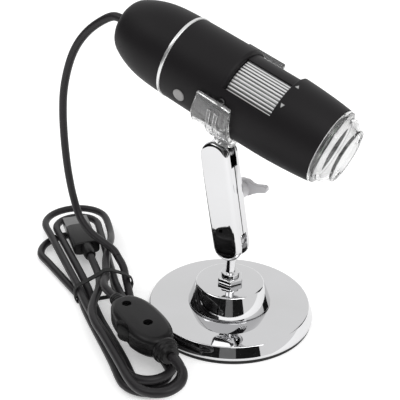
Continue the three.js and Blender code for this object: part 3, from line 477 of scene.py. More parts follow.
# The cord is folded up in three laps and tied at the waist. A lobe is (x, y, radius, height).
CORD_DIAMETER = 3.5
LOW = 2.5
PITCH = 3.95
HIGH = LOW + PITCH
THIRD = HIGH + PITCH
INNER = 5.95
OUTER = INNER + PITCH
WAIST_RIGHT = 24
WAIST_LEFT = 4
RISE_START = 22
RISE_END = -16
NEAR_LOBES = [
    (58, 4.8, 11.9, LOW),
    (58, 4.8, 7.3, LOW),
    (58, 4.2, 9.6, HIGH),
]
FAR_LOBES = [
    (-41.5, -4.6, 15.6, LOW),
    (-57.6, 0.6, 10.3, HIGH),
    (-62.5, 0.9, 15.2, HIGH),
]
LOBE_STEPS = 12
STRAND_STEPS = 12
SEAM = Vector((-14.2, 10.5, 11.6))
SEAM_WAY = Vector((0.897, 0.218, -0.385))
SEAM_GAP = 0.3


def smooth(x):
    t = min(1, max(0, x))
    return t * t * (3 - 2 * t)


def lobe(x, y, radius, z, near):
    """Half a turn of the fold: near lobes run right to left, far lobes left to right."""
    reach = radius if near else -radius
    turns = [math.pi * i / LOBE_STEPS for i in range(LOBE_STEPS + 1)]
    return [(x + reach * math.sin(a), y + reach * math.cos(a), z) for a in turns]


def strand(start, slot, end, steps, rising=False):
    """A run from one lobe to the next, through its slot at the tie."""
    near, far = (start, end) if start[0] > end[0] else (end, start)
    opening = WAIST_RIGHT if slot > 0 else WAIST_LEFT
    points = []
    for i in range(1, steps):
        x = start[0] + (end[0] - start[0]) * i / steps
        if x < 0:
            y = slot + (far[1] - slot) * x / far[0]
        else:
            y = slot + (near[1] - slot) * smooth((x - opening) / (near[0] - opening))
        rise = smooth((x - RISE_START) / (RISE_END - RISE_START)) if rising else 0
        points.append((x, y, start[2] + (end[2] - start[2]) * rise))
    return points


def through(points, spacing):
    """Points at about the given spacing along a smooth curve through the given ones."""
    points = [Vector(p) for p in points]
    ends = [2 * points[0] - points[1], *points, 2 * points[-1] - points[-2]]
    fine = []
    for a, b, c, d in zip(ends, ends[1:], ends[2:], ends[3:]):
        knots = [0.0]
        for p, q in ((a, b), (b, c), (c, d)):
            knots.append(knots[-1] + math.sqrt((q - p).length))
        t0, t1, t2, t3 = knots
        count = max(1, round((c - b).length / spacing))
        for i in range(count):
            t = t1 + (t2 - t1) * i / count
            ab = a.lerp(b, (t - t0) / (t1 - t0))
            bc = b.lerp(c, (t - t1) / (t2 - t1))
            cd = c.lerp(d, (t - t2) / (t3 - t2))
            early = ab.lerp(bc, (t - t0) / (t2 - t0))
            late = bc.lerp(cd, (t - t1) / (t3 - t1))
            fine.append(early.lerp(late, (t - t1) / (t2 - t1)))
    return fine + [points[-1]]


def length_of(points):
    return sum((q - p).length for p, q in zip(points, points[1:]))


def tube(name, points, diameter, look, rings=4):
    """A round tube along points in metres, closed at both ends."""
    line = bpy.data.curves.new(name, "CURVE")
    line.dimensions = "3D"
    line.bevel_depth = diameter / 2
    line.bevel_resolution = rings
    line.use_fill_caps = True
    spline = line.splines.new("POLY")
    spline.points.add(len(points) - 1)
    for spot, p in zip(spline.points, points):
        spot.co = (*p, 1)
    drawn = bpy.data.objects.new(name, line)
    mesh = bpy.data.meshes.new_from_object(drawn)
    bpy.data.objects.remove(drawn)
    bpy.data.curves.remove(line)
    mesh.name = name
    mesh.shade_smooth()
    mesh.set_sharp_from_angle(angle=math.radians(50))
    mesh.materials.clear()
    mesh.materials.append(look)
    made = bpy.data.objects.new(name, mesh)
    bpy.context.scene.collection.objects.link(made)
    return made


def in_place(points, place):
    return [(place @ Vector(p)) * MM for p in points]


def on_dimmer_axis(x):
    return FOLD.inverted() @ DIMMER @ Vector((x, 0, 0))


def end_of(place, side):
    x, y, radius, z = place
    return (x, y + side * radius, z)


DIMMER_HALF_LENGTH = 17.5
RELIEF_LENGTH = 4.8
DIMMER_END = DIMMER_HALF_LENGTH + SEAM_GAP + RELIEF_LENGTH
FOLD_SPACING = 1.4
LEAD_SPACING = 1.0
SLEEVE_LENGTH = 7.5
route = [SEAM + SEAM_WAY * (SEAM_GAP + CORD_DIAMETER * n / 2) for n in range(3)]
route += [
    (-7, 11.6, 8.7),
    (-2, 11.1, 6.9),
    (5, 10.5, 4.9),
    (11, 10, 3.2),
    (16, OUTER, LOW),
]
route += strand(route[-1], OUTER, end_of(NEAR_LOBES[0], 1), 6)
for lap, (near, far) in enumerate(zip(NEAR_LOBES, FAR_LOBES)):
    left = (-OUTER, -INNER, -OUTER)[lap]
    route += lobe(*near, near=True)
    route += strand(end_of(near, -1), left, end_of(far, -1), STRAND_STEPS, rising=lap == 1)
    route += lobe(*far, near=False)
    if lap < 2:
        route += strand(end_of(far, 1), INNER, end_of(NEAR_LOBES[lap + 1], 1), STRAND_STEPS)
route += [
    (-54, 15.7, HIGH),
    (-43, 14.2, HIGH + 0.9),
    (-34, 12, HIGH + 2.9),
    (-28, 9.9, THIRD),
    (-22, 7.6, THIRD + 0.1),
    (-14, 5, THIRD + 0.2),
    (-6, 3.2, THIRD + 0.4),
    (1, 1.6, THIRD + 1.3),
    (6.5, -0.6, THIRD + 2.6),
    (12, -1.5, 13.6),
]
route += [on_dimmer_axis(-DIMMER_END - SEAM_GAP - CORD_DIAMETER * n / 2) for n in (2, 1, 0)]
hank_line = in_place(through(route, FOLD_SPACING), FOLD)

tail = [on_dimmer_axis(DIMMER_END + SEAM_GAP + CORD_DIAMETER * n / 2) for n in range(3)]
tail += [
    (75.6, 12, 13.5),
    (80, 9.6, 12.9),
    (81.9, 4.4, 12.1),
    (79.8, -1, 11.3),
    (75.1, -4.7, 10.8),
    (69, -6.2, 10.5),
    (60, -7, 10.4),
    (50, -7.9, 10.4),
    (40, -8.9, 10.4),
    (31, -10, 10.4),
    (23, -9.6, 10.4),
    (15, -6.8, 10.3),
    (7, -3.2, 9.6),
    (0, -1.2, 8.8),
    (-7, -0.2, 8.3),
    (-13, 0, PLUG_HEIGHT),
    (PLUG_X + SLEEVE_LENGTH + SEAM_GAP + CORD_DIAMETER, 0, PLUG_HEIGHT),
    (PLUG_X + SLEEVE_LENGTH + SEAM_GAP, 0, PLUG_HEIGHT),
]
tail_line = in_place(through(tail, FOLD_SPACING), FOLD)

RING = -27.6
REAR_LENGTH = 28.7
REAR_END = RING - REAR_LENGTH
GLAND_LENGTH = 1.8
GLAND_TIP = REAR_END - GLAND_LENGTH - SEAM_GAP
lead = [
    BARREL @ Vector((0, 0, GLAND_TIP)),
    BARREL @ Vector((0, 0, GLAND_TIP - CORD_DIAMETER / 2)),
    (-57.3, 0, 119.7),
    (-60.2, 0, 118.9),
    (-63.2, 0, 117.4),
    (-67, 0, 115.1),
    (-71.5, 0, 111.7),
    (-76.5, 0, 106.6),
    (-80.9, 0, 100),
    (-84.6, 0, 91.3),
    (-87, 0, 82.5),
    (-88.1, 0, 73.5),
    (-88.4, 0, 64),
    (-88.1, 0, 54),
    (-87.1, 0, 43),
    (-85.2, 0.1, 32.2),
    (-81.2, -0.8, 23.4),
    (-75.1, -1.7, 18.2),
    (-69, -2.2, 15.8),
    (-64.2, -2.6, 14.6),
    FOLD @ (SEAM - SEAM_WAY * CORD_DIAMETER),
    FOLD @ SEAM,
]
lead_line = [p * MM for p in through(lead, LEAD_SPACING)]


def declared(made, line, far_end, lay, **more):
    length_of(line)


hank = tube("cord_hank_jacket", hank_line, CORD_DIAMETER * MM, CORD)
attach(hank, "stem")
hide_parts("cord_hank")
declared(hank, hank_line, "object", "coiled")

tail_piece = tube("cord_tail_jacket", tail_line, CORD_DIAMETER * MM, CORD, 6)
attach(tail_piece, "stem")
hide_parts("cord_tail")

# The free stretch in four lengths, one for each pair of neighbouring bodies in the list; none is attached
# to a body.
LEAD_SHARES = [0, 0.211, 0.465, 0.69, 1]
LEAD_BODIES = ["barrel", "holder", "head_stud", "arm", "stem"]
for i in range(len(LEAD_BODIES) - 1):
    first, last = (round(share * (len(lead_line) - 1)) for share in LEAD_SHARES[i:i + 2])
    line = lead_line[first:last + 1]
    stretch = tube(f"cord_lead_{i + 1}", line, CORD_DIAMETER * MM, CORD, 6)
    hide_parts("cord_lead")
    declared(stretch, line, "object", "loose")
    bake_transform(stretch)


# The base: a rubber foot under a chromed plate with a boss.
PAD_RADIUS = 35.2
PAD_HEIGHT = 1.5
PLATE_TOP = 7.1
PLATE_WALL = 0.8
PLATE_BORE = 4.3
PLATE_RADIUS = 33.7
BAND_INSIDE = 34.2
LIP_BOTTOM = PAD_HEIGHT + 0.25
LIP_RADIUS = 35.6
LIP_WALL = 0.9
BOSS_BOTTOM = PLATE_TOP + 0.1
BOSS_TOP = 16.7
BOSS_BOTTOM_RADIUS = 17.6
BOSS_TOP_RADIUS = 14.1
BOSS_BORE = 2.05

foot = bar(PAD_RADIUS, 0, PAD_HEIGHT, 128)
piece("base_foot", soften(foot, 0.4), STAND, RUBBER, "base", ["foot_pad"])

plate = turned([
    (PLATE_BORE, PLATE_TOP - PLATE_WALL),
    (PLATE_RADIUS - LIP_WALL, PLATE_TOP - PLATE_WALL),
    (BAND_INSIDE, LIP_BOTTOM + LIP_WALL),
    (LIP_RADIUS - LIP_WALL, LIP_BOTTOM),
    (LIP_RADIUS, LIP_BOTTOM),
    (LIP_RADIUS, LIP_BOTTOM + LIP_WALL),
    (PLATE_RADIUS, PLATE_TOP),
    (PLATE_BORE, PLATE_TOP),
], 192)
piece("base_plate_chromed", soften(plate, 0.35, segments=4, degrees=20), STAND, CHROME, "base",
      ["base_shell"])

boss = turned([
    (BOSS_BORE, BOSS_BOTTOM),
    (BOSS_BOTTOM_RADIUS, BOSS_BOTTOM),
    (BOSS_TOP_RADIUS, BOSS_TOP),
    (BOSS_BORE, BOSS_TOP),
], 160)
piece("base_boss_chromed", soften(boss, 0.7, segments=5), STAND, CHROME, "base", ["base_boss"])


# The stem: a nut on the boss, a collar and the lower ball.
STEM_RADIUS = 2
STEM_BOTTOM = 11.2
COLLAR_RADIUS = 3.9
COLLAR_BOTTOM = 19.15
COLLAR_TOP = 21.15
NUT_RADIUS = 5.8
NUT_HEIGHT = 2.1
NUT_BORE = 2.1
NUT_BOTTOM = BOSS_TOP + 0.25
OVERRUN = 1
BALL_RADIUS = 3.8
BALL_STEPS = 28

hexagon = [around(NUT_RADIUS, 60 * i).xy for i in range(6)]
nut = moved(soften(prism(hexagon, NUT_HEIGHT), 0.45), shift(0, 0, NUT_BOTTOM))
nut_bore = bar(NUT_BORE, NUT_BOTTOM - OVERRUN, NUT_BOTTOM + NUT_HEIGHT + OVERRUN)
piece("stem_nut", cut(nut, nut_bore), STAND, CHROME, "stem", ["stud_nut"])


def ball_profile(centre):
    """From the stem's edge round to the far pole of a ball that sits on it."""
    start = math.pi - math.asin(STEM_RADIUS / BALL_RADIUS)
    turns = [start * (1 - i / BALL_STEPS) for i in range(BALL_STEPS + 1)]
    return [(BALL_RADIUS * math.sin(a), centre + BALL_RADIUS * math.cos(a)) for a in turns]


stud = turned([
    (0, STEM_BOTTOM),
    (STEM_RADIUS, STEM_BOTTOM),
    (STEM_RADIUS, COLLAR_BOTTOM),
    (COLLAR_RADIUS, COLLAR_BOTTOM),
    (COLLAR_RADIUS, COLLAR_TOP),
    (STEM_RADIUS, COLLAR_TOP),
    *ball_profile(LOWER_BALL),
], 64)
piece("lower_ball", soften(stud, 0.3, degrees=50), STAND, CHROME, "stem", ["lower_ball_stud"])


# The link arm: two plates on the balls, drawn together by the wing screw.
ARM_MIDDLE = ARM_LENGTH / 2
ARM_HALF_WIDTH = 6.4
ARM_PLATE_THICKNESS = 2.9
HALF_GAP = 2.3
HOLLOW_RADIUS = 4.05
OUTER_EDGE = 1.9
INNER_EDGE = 0.25
WALL_THICKNESS = 1.1
WALL_WIDTH = 2.4
WALL_LENGTH = ARM_LENGTH - 9.6
WALL_X = 5.82
WALL_Y = 1.5
SCREW_HOLE = 1.75


def arm_plate(side):
    """One plate: a long rounded outline with a soft outer edge and two hollows for the balls."""
    shape = bmesh.new()
    bmesh.ops.create_circle(shape, cap_ends=True, radius=ARM_HALF_WIDTH, segments=96)
    for vert in shape.verts:
        if vert.co.y > -MERGE:
            vert.co.y += ARM_LENGTH
    pulled_up(shape, ARM_PLATE_THICKNESS)
    middle = ARM_PLATE_THICKNESS / 2
    soften(shape, OUTER_EDGE, 7, 60, lambda edge: all(vert.co.z > middle for vert in edge.verts))
    soften(shape, INNER_EDGE, 2, 60, lambda edge: all(vert.co.z < middle for vert in edge.verts))
    upright = Matrix.Diagonal((1, side, 1, 1)) @ turn("X", 90) @ Matrix.Diagonal((1, 1, -1, 1))
    moved(shape, shift(0, side * HALF_GAP, 0) @ upright)
    bmesh.ops.recalc_face_normals(shape, faces=shape.faces)
    balls = []
    for z in (0, ARM_LENGTH):
        ball = bmesh.new()
        bmesh.ops.create_uvsphere(
            ball, u_segments=48, v_segments=24, radius=HOLLOW_RADIUS, matrix=shift(0, 0, z),
        )
        balls.append(ball)
    return cut(shape, *balls)


def plate_walls(side):
    """The plate's turned-in walls along its straight sides, short of the balls."""
    walls = []
    for edge in (-1, 1):
        wall = soften(block(WALL_THICKNESS, WALL_WIDTH, WALL_LENGTH), 0.2, 2)
        walls.append(moved(wall, shift(edge * WALL_X, side * WALL_Y, ARM_MIDDLE)))
    return walls


def cross_bar(radius, start, end):
    """A round bar along Y at the middle of the arm."""
    return moved(bar(radius, start, end, 64), shift(0, 0, ARM_MIDDLE) @ turn("X", -90))


front = joined(arm_plate(-1), *plate_walls(-1))
screw_hole = cross_bar(SCREW_HOLE, 0, HALF_GAP + ARM_PLATE_THICKNESS + OVERRUN)
rear = cut(joined(arm_plate(1), *plate_walls(1)), screw_hole)
piece("front_plate", front, ARM, CHROME, "arm", ["arm_plate_front"])
piece("rear_plate", rear, ARM, CHROME, "arm", ["arm_plate_rear"])

SPRING_RADIUS = 2.35
SPRING_HALF = 1.95
SPRING_WIRE = 0.5
SPRING_TURNS = 3
TURN_STEPS = 32
coil = []
for i in range(SPRING_TURNS * TURN_STEPS + 1):
    across = SPRING_HALF * (2 * i / (SPRING_TURNS * TURN_STEPS) - 1)
    spot = around(SPRING_RADIUS, 360 * i / TURN_STEPS)
    coil.append((spot.x, across, ARM_MIDDLE + spot.y))
spring = tube("clamp_coil", in_place(coil, ARM), SPRING_WIRE * MM, STEEL, 3)
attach(spring, "arm")
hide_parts("clamp_spring")

# One wing's outline, from the middle of the screw's upper side round to its foot, with y downwards.
WING_HALF = [
    (0, -3.9),
    (3.4, -3.9),
    (4.4, -3.3),
    (5.6, -2.2),
    (7.2, -1.7),
    (11.2, -1.7),
    (12, -0.9),
    (11.9, 0.5),
    (11.2, 1.2),
    (8, 1.4),
    (5, 2.2),
    (3.4, 2.9),
    (0, 3.1),
]
WING_THICKNESS = 2.2
WING_START = 12.55
HUB_RADIUS = 3.9
HUB_START = 6.1
HUB_END = 15.8
HUB_BORE = 1.55
HUB_BORE_END = 14.45
wing = WING_HALF + [(-x, y) for x, y in reversed(WING_HALF[1:-1])]
wings = moved(prism(wing, WING_THICKNESS), shift(0, WING_START, ARM_MIDDLE) @ turn("X", -90))
hub = cross_bar(HUB_RADIUS, HUB_START, HUB_END)
hub_bore = cross_bar(HUB_BORE, HUB_START - OVERRUN, HUB_BORE_END)
wing_grip = soften(cut(joined(hub, wings), hub_bore), 0.35, degrees=50)
piece("wing_grip", wing_grip, ARM, LIGHT_GREY, "wing_nut", ["wing_screw"])

# The upper ball and its stud.
NECK_END = 6.75
THREAD_RADIUS = 1.5
THREAD_END = 10.35
top_stud = turned([
    *reversed([(r, -z) for r, z in ball_profile(0)]),
    (STEM_RADIUS, NECK_END),
    (THREAD_RADIUS, NECK_END),
    (THREAD_RADIUS, THREAD_END),
    (0, THREAD_END),
], 64)
piece("upper_ball", top_stud, HEAD, STEEL, "head_stud", ["upper_ball_stud"])


# The clip: a clear band round the barrel, open at the top, with its boss and ribs.
def radial_bar(radius, start, end, degrees, z, steps=48):
    """A round bar along the radius at an angle round the barrel."""
    return moved(bar(radius, start, end, steps), shift(0, 0, z) @ turn("Z", degrees) @ turn("Y", 90))


def arc_block(profile, start, end, steps=32):
    """A block whose (radius, height) section runs round the barrel from one angle to another."""
    shape = turned(profile, steps, end - start)
    bmesh.ops.holes_fill(shape, edges=shape.edges, sides=24)
    bmesh.ops.recalc_face_normals(shape, faces=shape.faces)
    return moved(shape, turn("Z", start))


CLIP_INNER = 16.6
CLIP_WALL = 2.1
CLIP_OUTER = CLIP_INNER + CLIP_WALL
CLIP_CORE = CLIP_INNER + CLIP_WALL / 2
CLIP_MIDDLE = -2.2
CLIP_HALF = 8
CLIP_CORNER = 0.55
NEAR_JAW = 93
FAR_JAW = 310
FLARE = 42
FLARE_ROOM = 1.5
NARROWING_SHARE = 0.92
WIDENING_SHARE = 0.14
WIDENING_START = 88
WIDENING_ARC = 36
RIB_HEIGHTS = (-2.3, 0.8)
RIB_HALF = 0.5
RIB_RISE = 0.7
RIB_START = 98
RIB_END = 150
CLIP_BOSS_RADIUS = 4.6
CLIP_BOSS_END = 21.7
CLIP_BORE = 1.55
CLIP_BOSS_ANGLE = 180


def clip_band():
    """The band's section carried in from the flared jaw, then round the barrel."""
    shape = bmesh.new()
    corners = section(CLIP_INNER, CLIP_OUTER, -CLIP_HALF, CLIP_HALF)
    shape.faces.new([shape.verts.new((r, 0, z)) for r, z in corners])
    bmesh.ops.bevel(
        shape, geom=list(shape.verts), offset=CLIP_CORNER, segments=4, profile=0.5,
        affect="VERTICES", material=-1,
    )
    hinge = around(CLIP_OUTER + FLARE_ROOM, NEAR_JAW)
    shape.transform(turn("Z", NEAR_JAW))
    shape.transform(shift(*hinge) @ turn("Z", FLARE) @ shift(*-hinge))
    swept = bmesh.ops.spin(
        shape, geom=list(shape.faces), cent=hinge, axis=(0, 0, -1), angle=math.radians(FLARE), steps=6,
    )
    last = [part for part in swept["geom_last"] if isinstance(part, bmesh.types.BMFace)]
    bmesh.ops.spin(
        shape, geom=last, cent=(0, 0, 0), axis=(0, 0, 1), angle=math.radians(FAR_JAW - NEAR_JAW), steps=72,
    )
    bmesh.ops.remove_doubles(shape, verts=shape.verts, dist=MERGE)
    bmesh.ops.recalc_face_normals(shape, faces=shape.faces)
    soften(shape, 0.7, 4, 60)
    for vert in shape.verts:
        angle = math.degrees(math.atan2(vert.co.y, vert.co.x)) % 360
        vert.co.z *= NARROWING_SHARE + WIDENING_SHARE * smooth((angle - WIDENING_START) / WIDENING_ARC)
    return moved(shape, shift(0, 0, CLIP_MIDDLE))


ribs = []
for z in RIB_HEIGHTS:
    rib_section = section(CLIP_CORE, CLIP_OUTER + RIB_RISE, z - RIB_HALF, z + RIB_HALF)
    ribs.append(soften(arc_block(rib_section, RIB_START, RIB_END), 0.35, degrees=50))
clip_boss = soften(radial_bar(CLIP_BOSS_RADIUS, CLIP_CORE, CLIP_BOSS_END, CLIP_BOSS_ANGLE, 0, 64), 0.3, 2)
clip_bore = radial_bar(CLIP_BORE, CLIP_INNER - OVERRUN, CLIP_BOSS_END + OVERRUN, CLIP_BOSS_ANGLE, 0)
piece("clear_clip", cut(joined(clip_band(), clip_boss, *ribs), clip_bore),
      BARREL, CLEAR, "holder", ["clip"])


# The barrel: rear cap, trim ring and shell.
BARREL_RADIUS = 16.5
END_RADIUS = 16.4
SEAT_RADIUS = 14.6
REAR_WALL = 2
RING_HALF = 0.65
RING_ROOM = 0.75
RING_OUTER = 16.7
GLAND_BORE = 3.1
GLAND_SEAT = 6.5
# (how far back, how far out) along the rear cap.
REAR_SHARES = [
    (0.18, 0.985),
    (0.35, 0.967),
    (0.51, 0.928),
    (0.67, 0.855),
    (0.805, 0.764),
    (0.91, 0.664),
    (0.97, 0.545),
    (1, 0.4),
]


def flowing(points, spacing):
    """A profile of (radius, height) points made smooth."""
    return [(p.x, p.z) for p in through([(r, 0, z) for r, z in points], spacing)]


rear_points = [(END_RADIUS, RING - RING_ROOM)]
rear_points += [(BARREL_RADIUS * out, RING - REAR_LENGTH * back) for back, out in REAR_SHARES]
rear_inside = [(r - REAR_WALL, z) for r, z in reversed(rear_points[:-2])]
piece("rear_shell", turned([
    *flowing(rear_points, 1.1),
    (GLAND_BORE, REAR_END),
    (GLAND_BORE, REAR_END + REAR_WALL),
    (GLAND_SEAT, REAR_END + REAR_WALL),
    *rear_inside[:-1],
    (SEAT_RADIUS, RING - RING_ROOM),
], 128), BARREL, SOFT_BLACK, "barrel", ["rear_cap"])

trim = turned(section(SEAT_RADIUS, RING_OUTER, RING - RING_HALF, RING + RING_HALF), 128)
# The band's finish paints shade on its sides inside the gaps next to the shells.
piece("trim_band", soften(trim, 0.3, 4), BARREL, SILVER_WITH_PAINTED_SHADE, "barrel", ["trim_ring"])

RIM = 38.2
NOSE_BORE = 13.6
WHEEL_ROOM = 14.35
WHEEL_BOTTOM = -1.7
WHEEL_TOP = 18.2
WHEEL_SHOULDER = 18.45
COLLAR_BORE = 12.9
COLLAR_END = -2.45
CUT_INSIDE = 10.8
CUT_OUTSIDE = 18.6
SIDE_POINTS = [
    (END_RADIUS, RING + RING_ROOM),
    (BARREL_RADIUS, -16),
    (BARREL_RADIUS, 8.85),
    (16.35, 19),
    (15.8, 28),
    (15.2, 34.3),
    (14.7, RIM),
]
shell = turned([
    *flowing(SIDE_POINTS, 3),
    (NOSE_BORE, RIM),
    (NOSE_BORE, WHEEL_SHOULDER),
    (WHEEL_ROOM, WHEEL_SHOULDER),
    (WHEEL_ROOM, WHEEL_BOTTOM),
    (COLLAR_BORE, WHEEL_BOTTOM),
    (COLLAR_BORE, COLLAR_END),
    (SEAT_RADIUS, COLLAR_END),
    (SEAT_RADIUS, RING + RING_ROOM),
], 160)

# The sunken band in which the wheel shows, with softly rounded ends.
RECESS_START = -89
RECESS_END = 69
RECESS_FLOOR = 15
RECESS_BOTTOM = -3
RECESS_TOP = 18.5
WINDOW_ARC = 57
recess = arc_block([
    (RECESS_FLOOR, WHEEL_BOTTOM),
    (15.6, -1.75),
    (16.1, -2),
    (16.4, -2.5),
    (16.52, RECESS_BOTTOM),
    (CUT_OUTSIDE, RECESS_BOTTOM),
    (CUT_OUTSIDE, RECESS_TOP),
    (16.4, RECESS_TOP),
    (16.2, 18.25),
    (16, WHEEL_TOP),
    (RECESS_FLOOR, WHEEL_TOP),
], RECESS_START, RECESS_END, 70)


def window(start, end):
    return arc_block(section(CUT_INSIDE, CUT_OUTSIDE, WHEEL_BOTTOM, WHEEL_TOP), start, end)


ZOOM_ANGLE = 113
ZOOM_Z = -17.6
ZOOM_RADIUS = 2.5
ZOOM_BOTTOM = 13.1
ZOOM_TOP = 16.9
ZOOM_GAP = 0.1
SNAP_ANGLE = 86
SNAP_HOLE = 1.85
SNAP_HOLE_BOTTOM = 14.65
ZOOM = shift(0, 0, ZOOM_Z) @ turn("Z", ZOOM_ANGLE)
SNAP = turn("Z", SNAP_ANGLE)
piece("barrel_body", cut(
    shell,
    recess,
    window(RECESS_END - WINDOW_ARC, RECESS_END),
    window(RECESS_START, RECESS_START + WINDOW_ARC),
    radial_bar(ZOOM_RADIUS + ZOOM_GAP, CUT_INSIDE, CUT_OUTSIDE, ZOOM_ANGLE, ZOOM_Z),
    radial_bar(SNAP_HOLE, SNAP_HOLE_BOTTOM, CUT_OUTSIDE, SNAP_ANGLE, 0),
), BARREL, SOFT_BLACK, "barrel", ["barrel_shell"])

# The focus wheel, with fine ridges along the axis. Its bore stops short of its rear face.
RIDGES = 64
RIDGE_FOOT = 13.75
RIDGE_RISE = 0.45
RIDGE_SHARES = [(0, 0), (0.14, 0.55), (0.32, 0.92), (0.5, 1), (0.68, 0.92), (0.86, 0.55)]
WHEEL_LENGTH = 19.6
WHEEL_REAR = -1.4
WHEEL_BORE = 12.7
WHEEL_BORE_START = 0
outline = []
for i in range(RIDGES):
    for share, up in RIDGE_SHARES:
        outline.append(around(RIDGE_FOOT + RIDGE_RISE * up, 360 * (i + share) / RIDGES).xy)
wheel = moved(prism(outline, WHEEL_LENGTH), shift(0, 0, WHEEL_REAR))
wheel = cut(wheel, bar(WHEEL_BORE, WHEEL_BORE_START, WHEEL_LENGTH + OVERRUN, 96))
# The wheel's finish paints shade into the grooves between its ridges.
piece("focus_ring_ridged", wheel, BARREL, RIDGED_WITH_PAINTED_SHADE, "focus_ring", ["focus_wheel"],
      crease=40)

# The buttons.
SNAP_PROFILE = [
    (0, 15.1),
    (1.75, 15.1),
    (1.75, 16.3),
    (1.7, 16.9),
    (1.45, 17.3),
    (0.95, 17.52),
    (0, 17.6),
]
snap = moved(turned(SNAP_PROFILE, 48), SNAP @ turn("Y", 90))
piece("snap_dome", snap, BARREL, GLOSSY, "snap_key", ["snap_button"])
zoom = moved(soften(bar(ZOOM_RADIUS, ZOOM_BOTTOM, ZOOM_TOP, 64), 0.35, 4), ZOOM @ turn("Y", 90))
piece("zoom_disc", zoom, BARREL, GREY, "zoom_key", ["zoom_button"])

# Two small printed arrowheads beside the wheel, pointing away from each other.
ARROW_LENGTH = 1.5
ARROW_HALF = 0.75
ARROW_SPOT = (16.24, 0, 20)
ARROW_WAYS = ((47.5, 1), (18, -1))
PRINT_DEPTH = 0.15
arrows = []
for angle, way in ARROW_WAYS:
    arrow = prism([(0, -ARROW_HALF), (way * ARROW_LENGTH, 0), (0, ARROW_HALF)][::way], PRINT_DEPTH)
    arrows.append(moved(arrow, turn("Z", angle) @ shift(*ARROW_SPOT) @ turn("X", 90) @ turn("Y", 90)))
piece("printed_arrows", beside(*arrows), BARREL, PRINT, "barrel")

# The clear nose: a sleeve in the barrel, a flange on its rim, and a stepped cone.
NOSE_REAR = 28.6
NOSE_INSIDE = 11.9
NOSE_SLEEVE = 13.4
# (radius, height over the rim) round the part that shows.
NOSE_STEPS = [
    (NOSE_SLEEVE, 0.1),
    (14.5, 0.1),
    (14.5, 1.6),
    (12.9, 1.6),
    (12.9, 4.1),
    (11, 6.2),
    (10.4, 7.8),
    (8.9, 7.8),
    (8.9, 6.2),
    (11.4, 2.6),
    (NOSE_INSIDE, 1.6),
]
nose = turned([
    (NOSE_INSIDE, NOSE_REAR),
    (NOSE_SLEEVE, NOSE_REAR),
    *[(r, RIM + rise) for r, rise in NOSE_STEPS],
], 128)
piece("nose_clear", soften(nose, 0.3, degrees=40), BARREL, CLEAR_NOSE, "barrel",
      ["nose_cap"])

# The rubber gland that the cord leaves by.
GLAND_PROFILE = [
    (0, -GLAND_LENGTH),
    (2.2, -GLAND_LENGTH),
    (2.6, -1.5),
    (3, 0),
    (3, 2.1),
    (4.4, 2.1),
    (4.4, 3.2),
    (0, 3.2),
]
gland = moved(turned(GLAND_PROFILE, 48), shift(0, 0, REAR_END))
piece("gland_grommet", gland, BARREL, RUBBER, "barrel", ["cord_gland"])


# The dimmer on the cord: two moulded halves, the wheel, screws and reliefs.
DIMMER_HALF_WIDTH = 8.8
DIMMER_HALF_HEIGHT = 4.9
PARTING = 0.1
DIMMER_EDGE = 2.7
LENGTH_CROWN_SHARE = 0.1
WIDTH_CROWN_SHARE = 0.08
HALF_CUT = 12
DIMMER_SCREWS = [(-10.4, -0.8), (5.2, 0.1)]
SCREW_HEAD = 1.7
SCREW_HEAD_BOTTOM = 2.65
SCREW_HEAD_TOP = 3.35
SHANK_RADIUS = 1
SHANK_BOTTOM = -3.3
SHANK_TOP = 3
SLOT = (2.3, 0.5, 1.2)
SLOT_Z = 3.4
SLOT_ANGLES = (25, 115)
DIMMER_WHEEL = (1.2, -5.3)
SCOOP_RADIUS = 9
SCOOP_Y = -16.1
THUMB_RADIUS = 5.2
THUMB_GROOVE = 4.95
THUMB_RIDGES = 40
THUMB_HALF = 1.5
AXLE_RADIUS = 1.5
AXLE_HALF = 3.1
WHEEL_GAP = 0.25


def dimmer_half(side):
    """One moulded half, crowned towards its ends and sides."""
    oval = rounded_outline(DIMMER_HALF_LENGTH, DIMMER_HALF_WIDTH, 2.4, 128)
    shape = prism(oval, DIMMER_HALF_HEIGHT - PARTING)
    middle = DIMMER_HALF_HEIGHT / 2
    soften(shape, DIMMER_EDGE, 8, 50, lambda edge: all(vert.co.z > middle for vert in edge.verts))
    for vert in shape.verts:
        fall = LENGTH_CROWN_SHARE * (vert.co.x / DIMMER_HALF_LENGTH) ** 2
        fall += WIDTH_CROWN_SHARE * (vert.co.y / DIMMER_HALF_WIDTH) ** 2
        vert.co.z *= 1 - fall
    moved(shape, shift(0, 0, side * PARTING) @ Matrix.Diagonal((1, 1, side, 1)))
    bmesh.ops.recalc_face_normals(shape, faces=shape.faces)
    return shape


def upright_bar(radius, start, end, x, y, steps=48):
    return moved(bar(radius, start, end, steps), shift(x, y, 0))


def dimmer_cuts():
    """The room for the wheel and its axle, the scoop for the thumb, and the screws' holes."""
    x, y = DIMMER_WHEEL
    cuts = [
        upright_bar(THUMB_RADIUS + WHEEL_GAP, -THUMB_HALF - WHEEL_GAP, THUMB_HALF + WHEEL_GAP, x, y, 64),
        upright_bar(AXLE_RADIUS + 0.05, -AXLE_HALF - 0.1, AXLE_HALF + 0.1, x, y),
        upright_bar(SCOOP_RADIUS, -HALF_CUT, HALF_CUT, x, SCOOP_Y, 96),
    ]
    for x, y in DIMMER_SCREWS:
        cuts.append(upright_bar(SCREW_HEAD + 0.2, SCREW_HEAD_BOTTOM - 0.05, HALF_CUT, x, y))
        cuts.append(upright_bar(SHANK_RADIUS + 0.1, SHANK_BOTTOM - 0.2, DIMMER_HALF_HEIGHT, x, y))
    return cuts
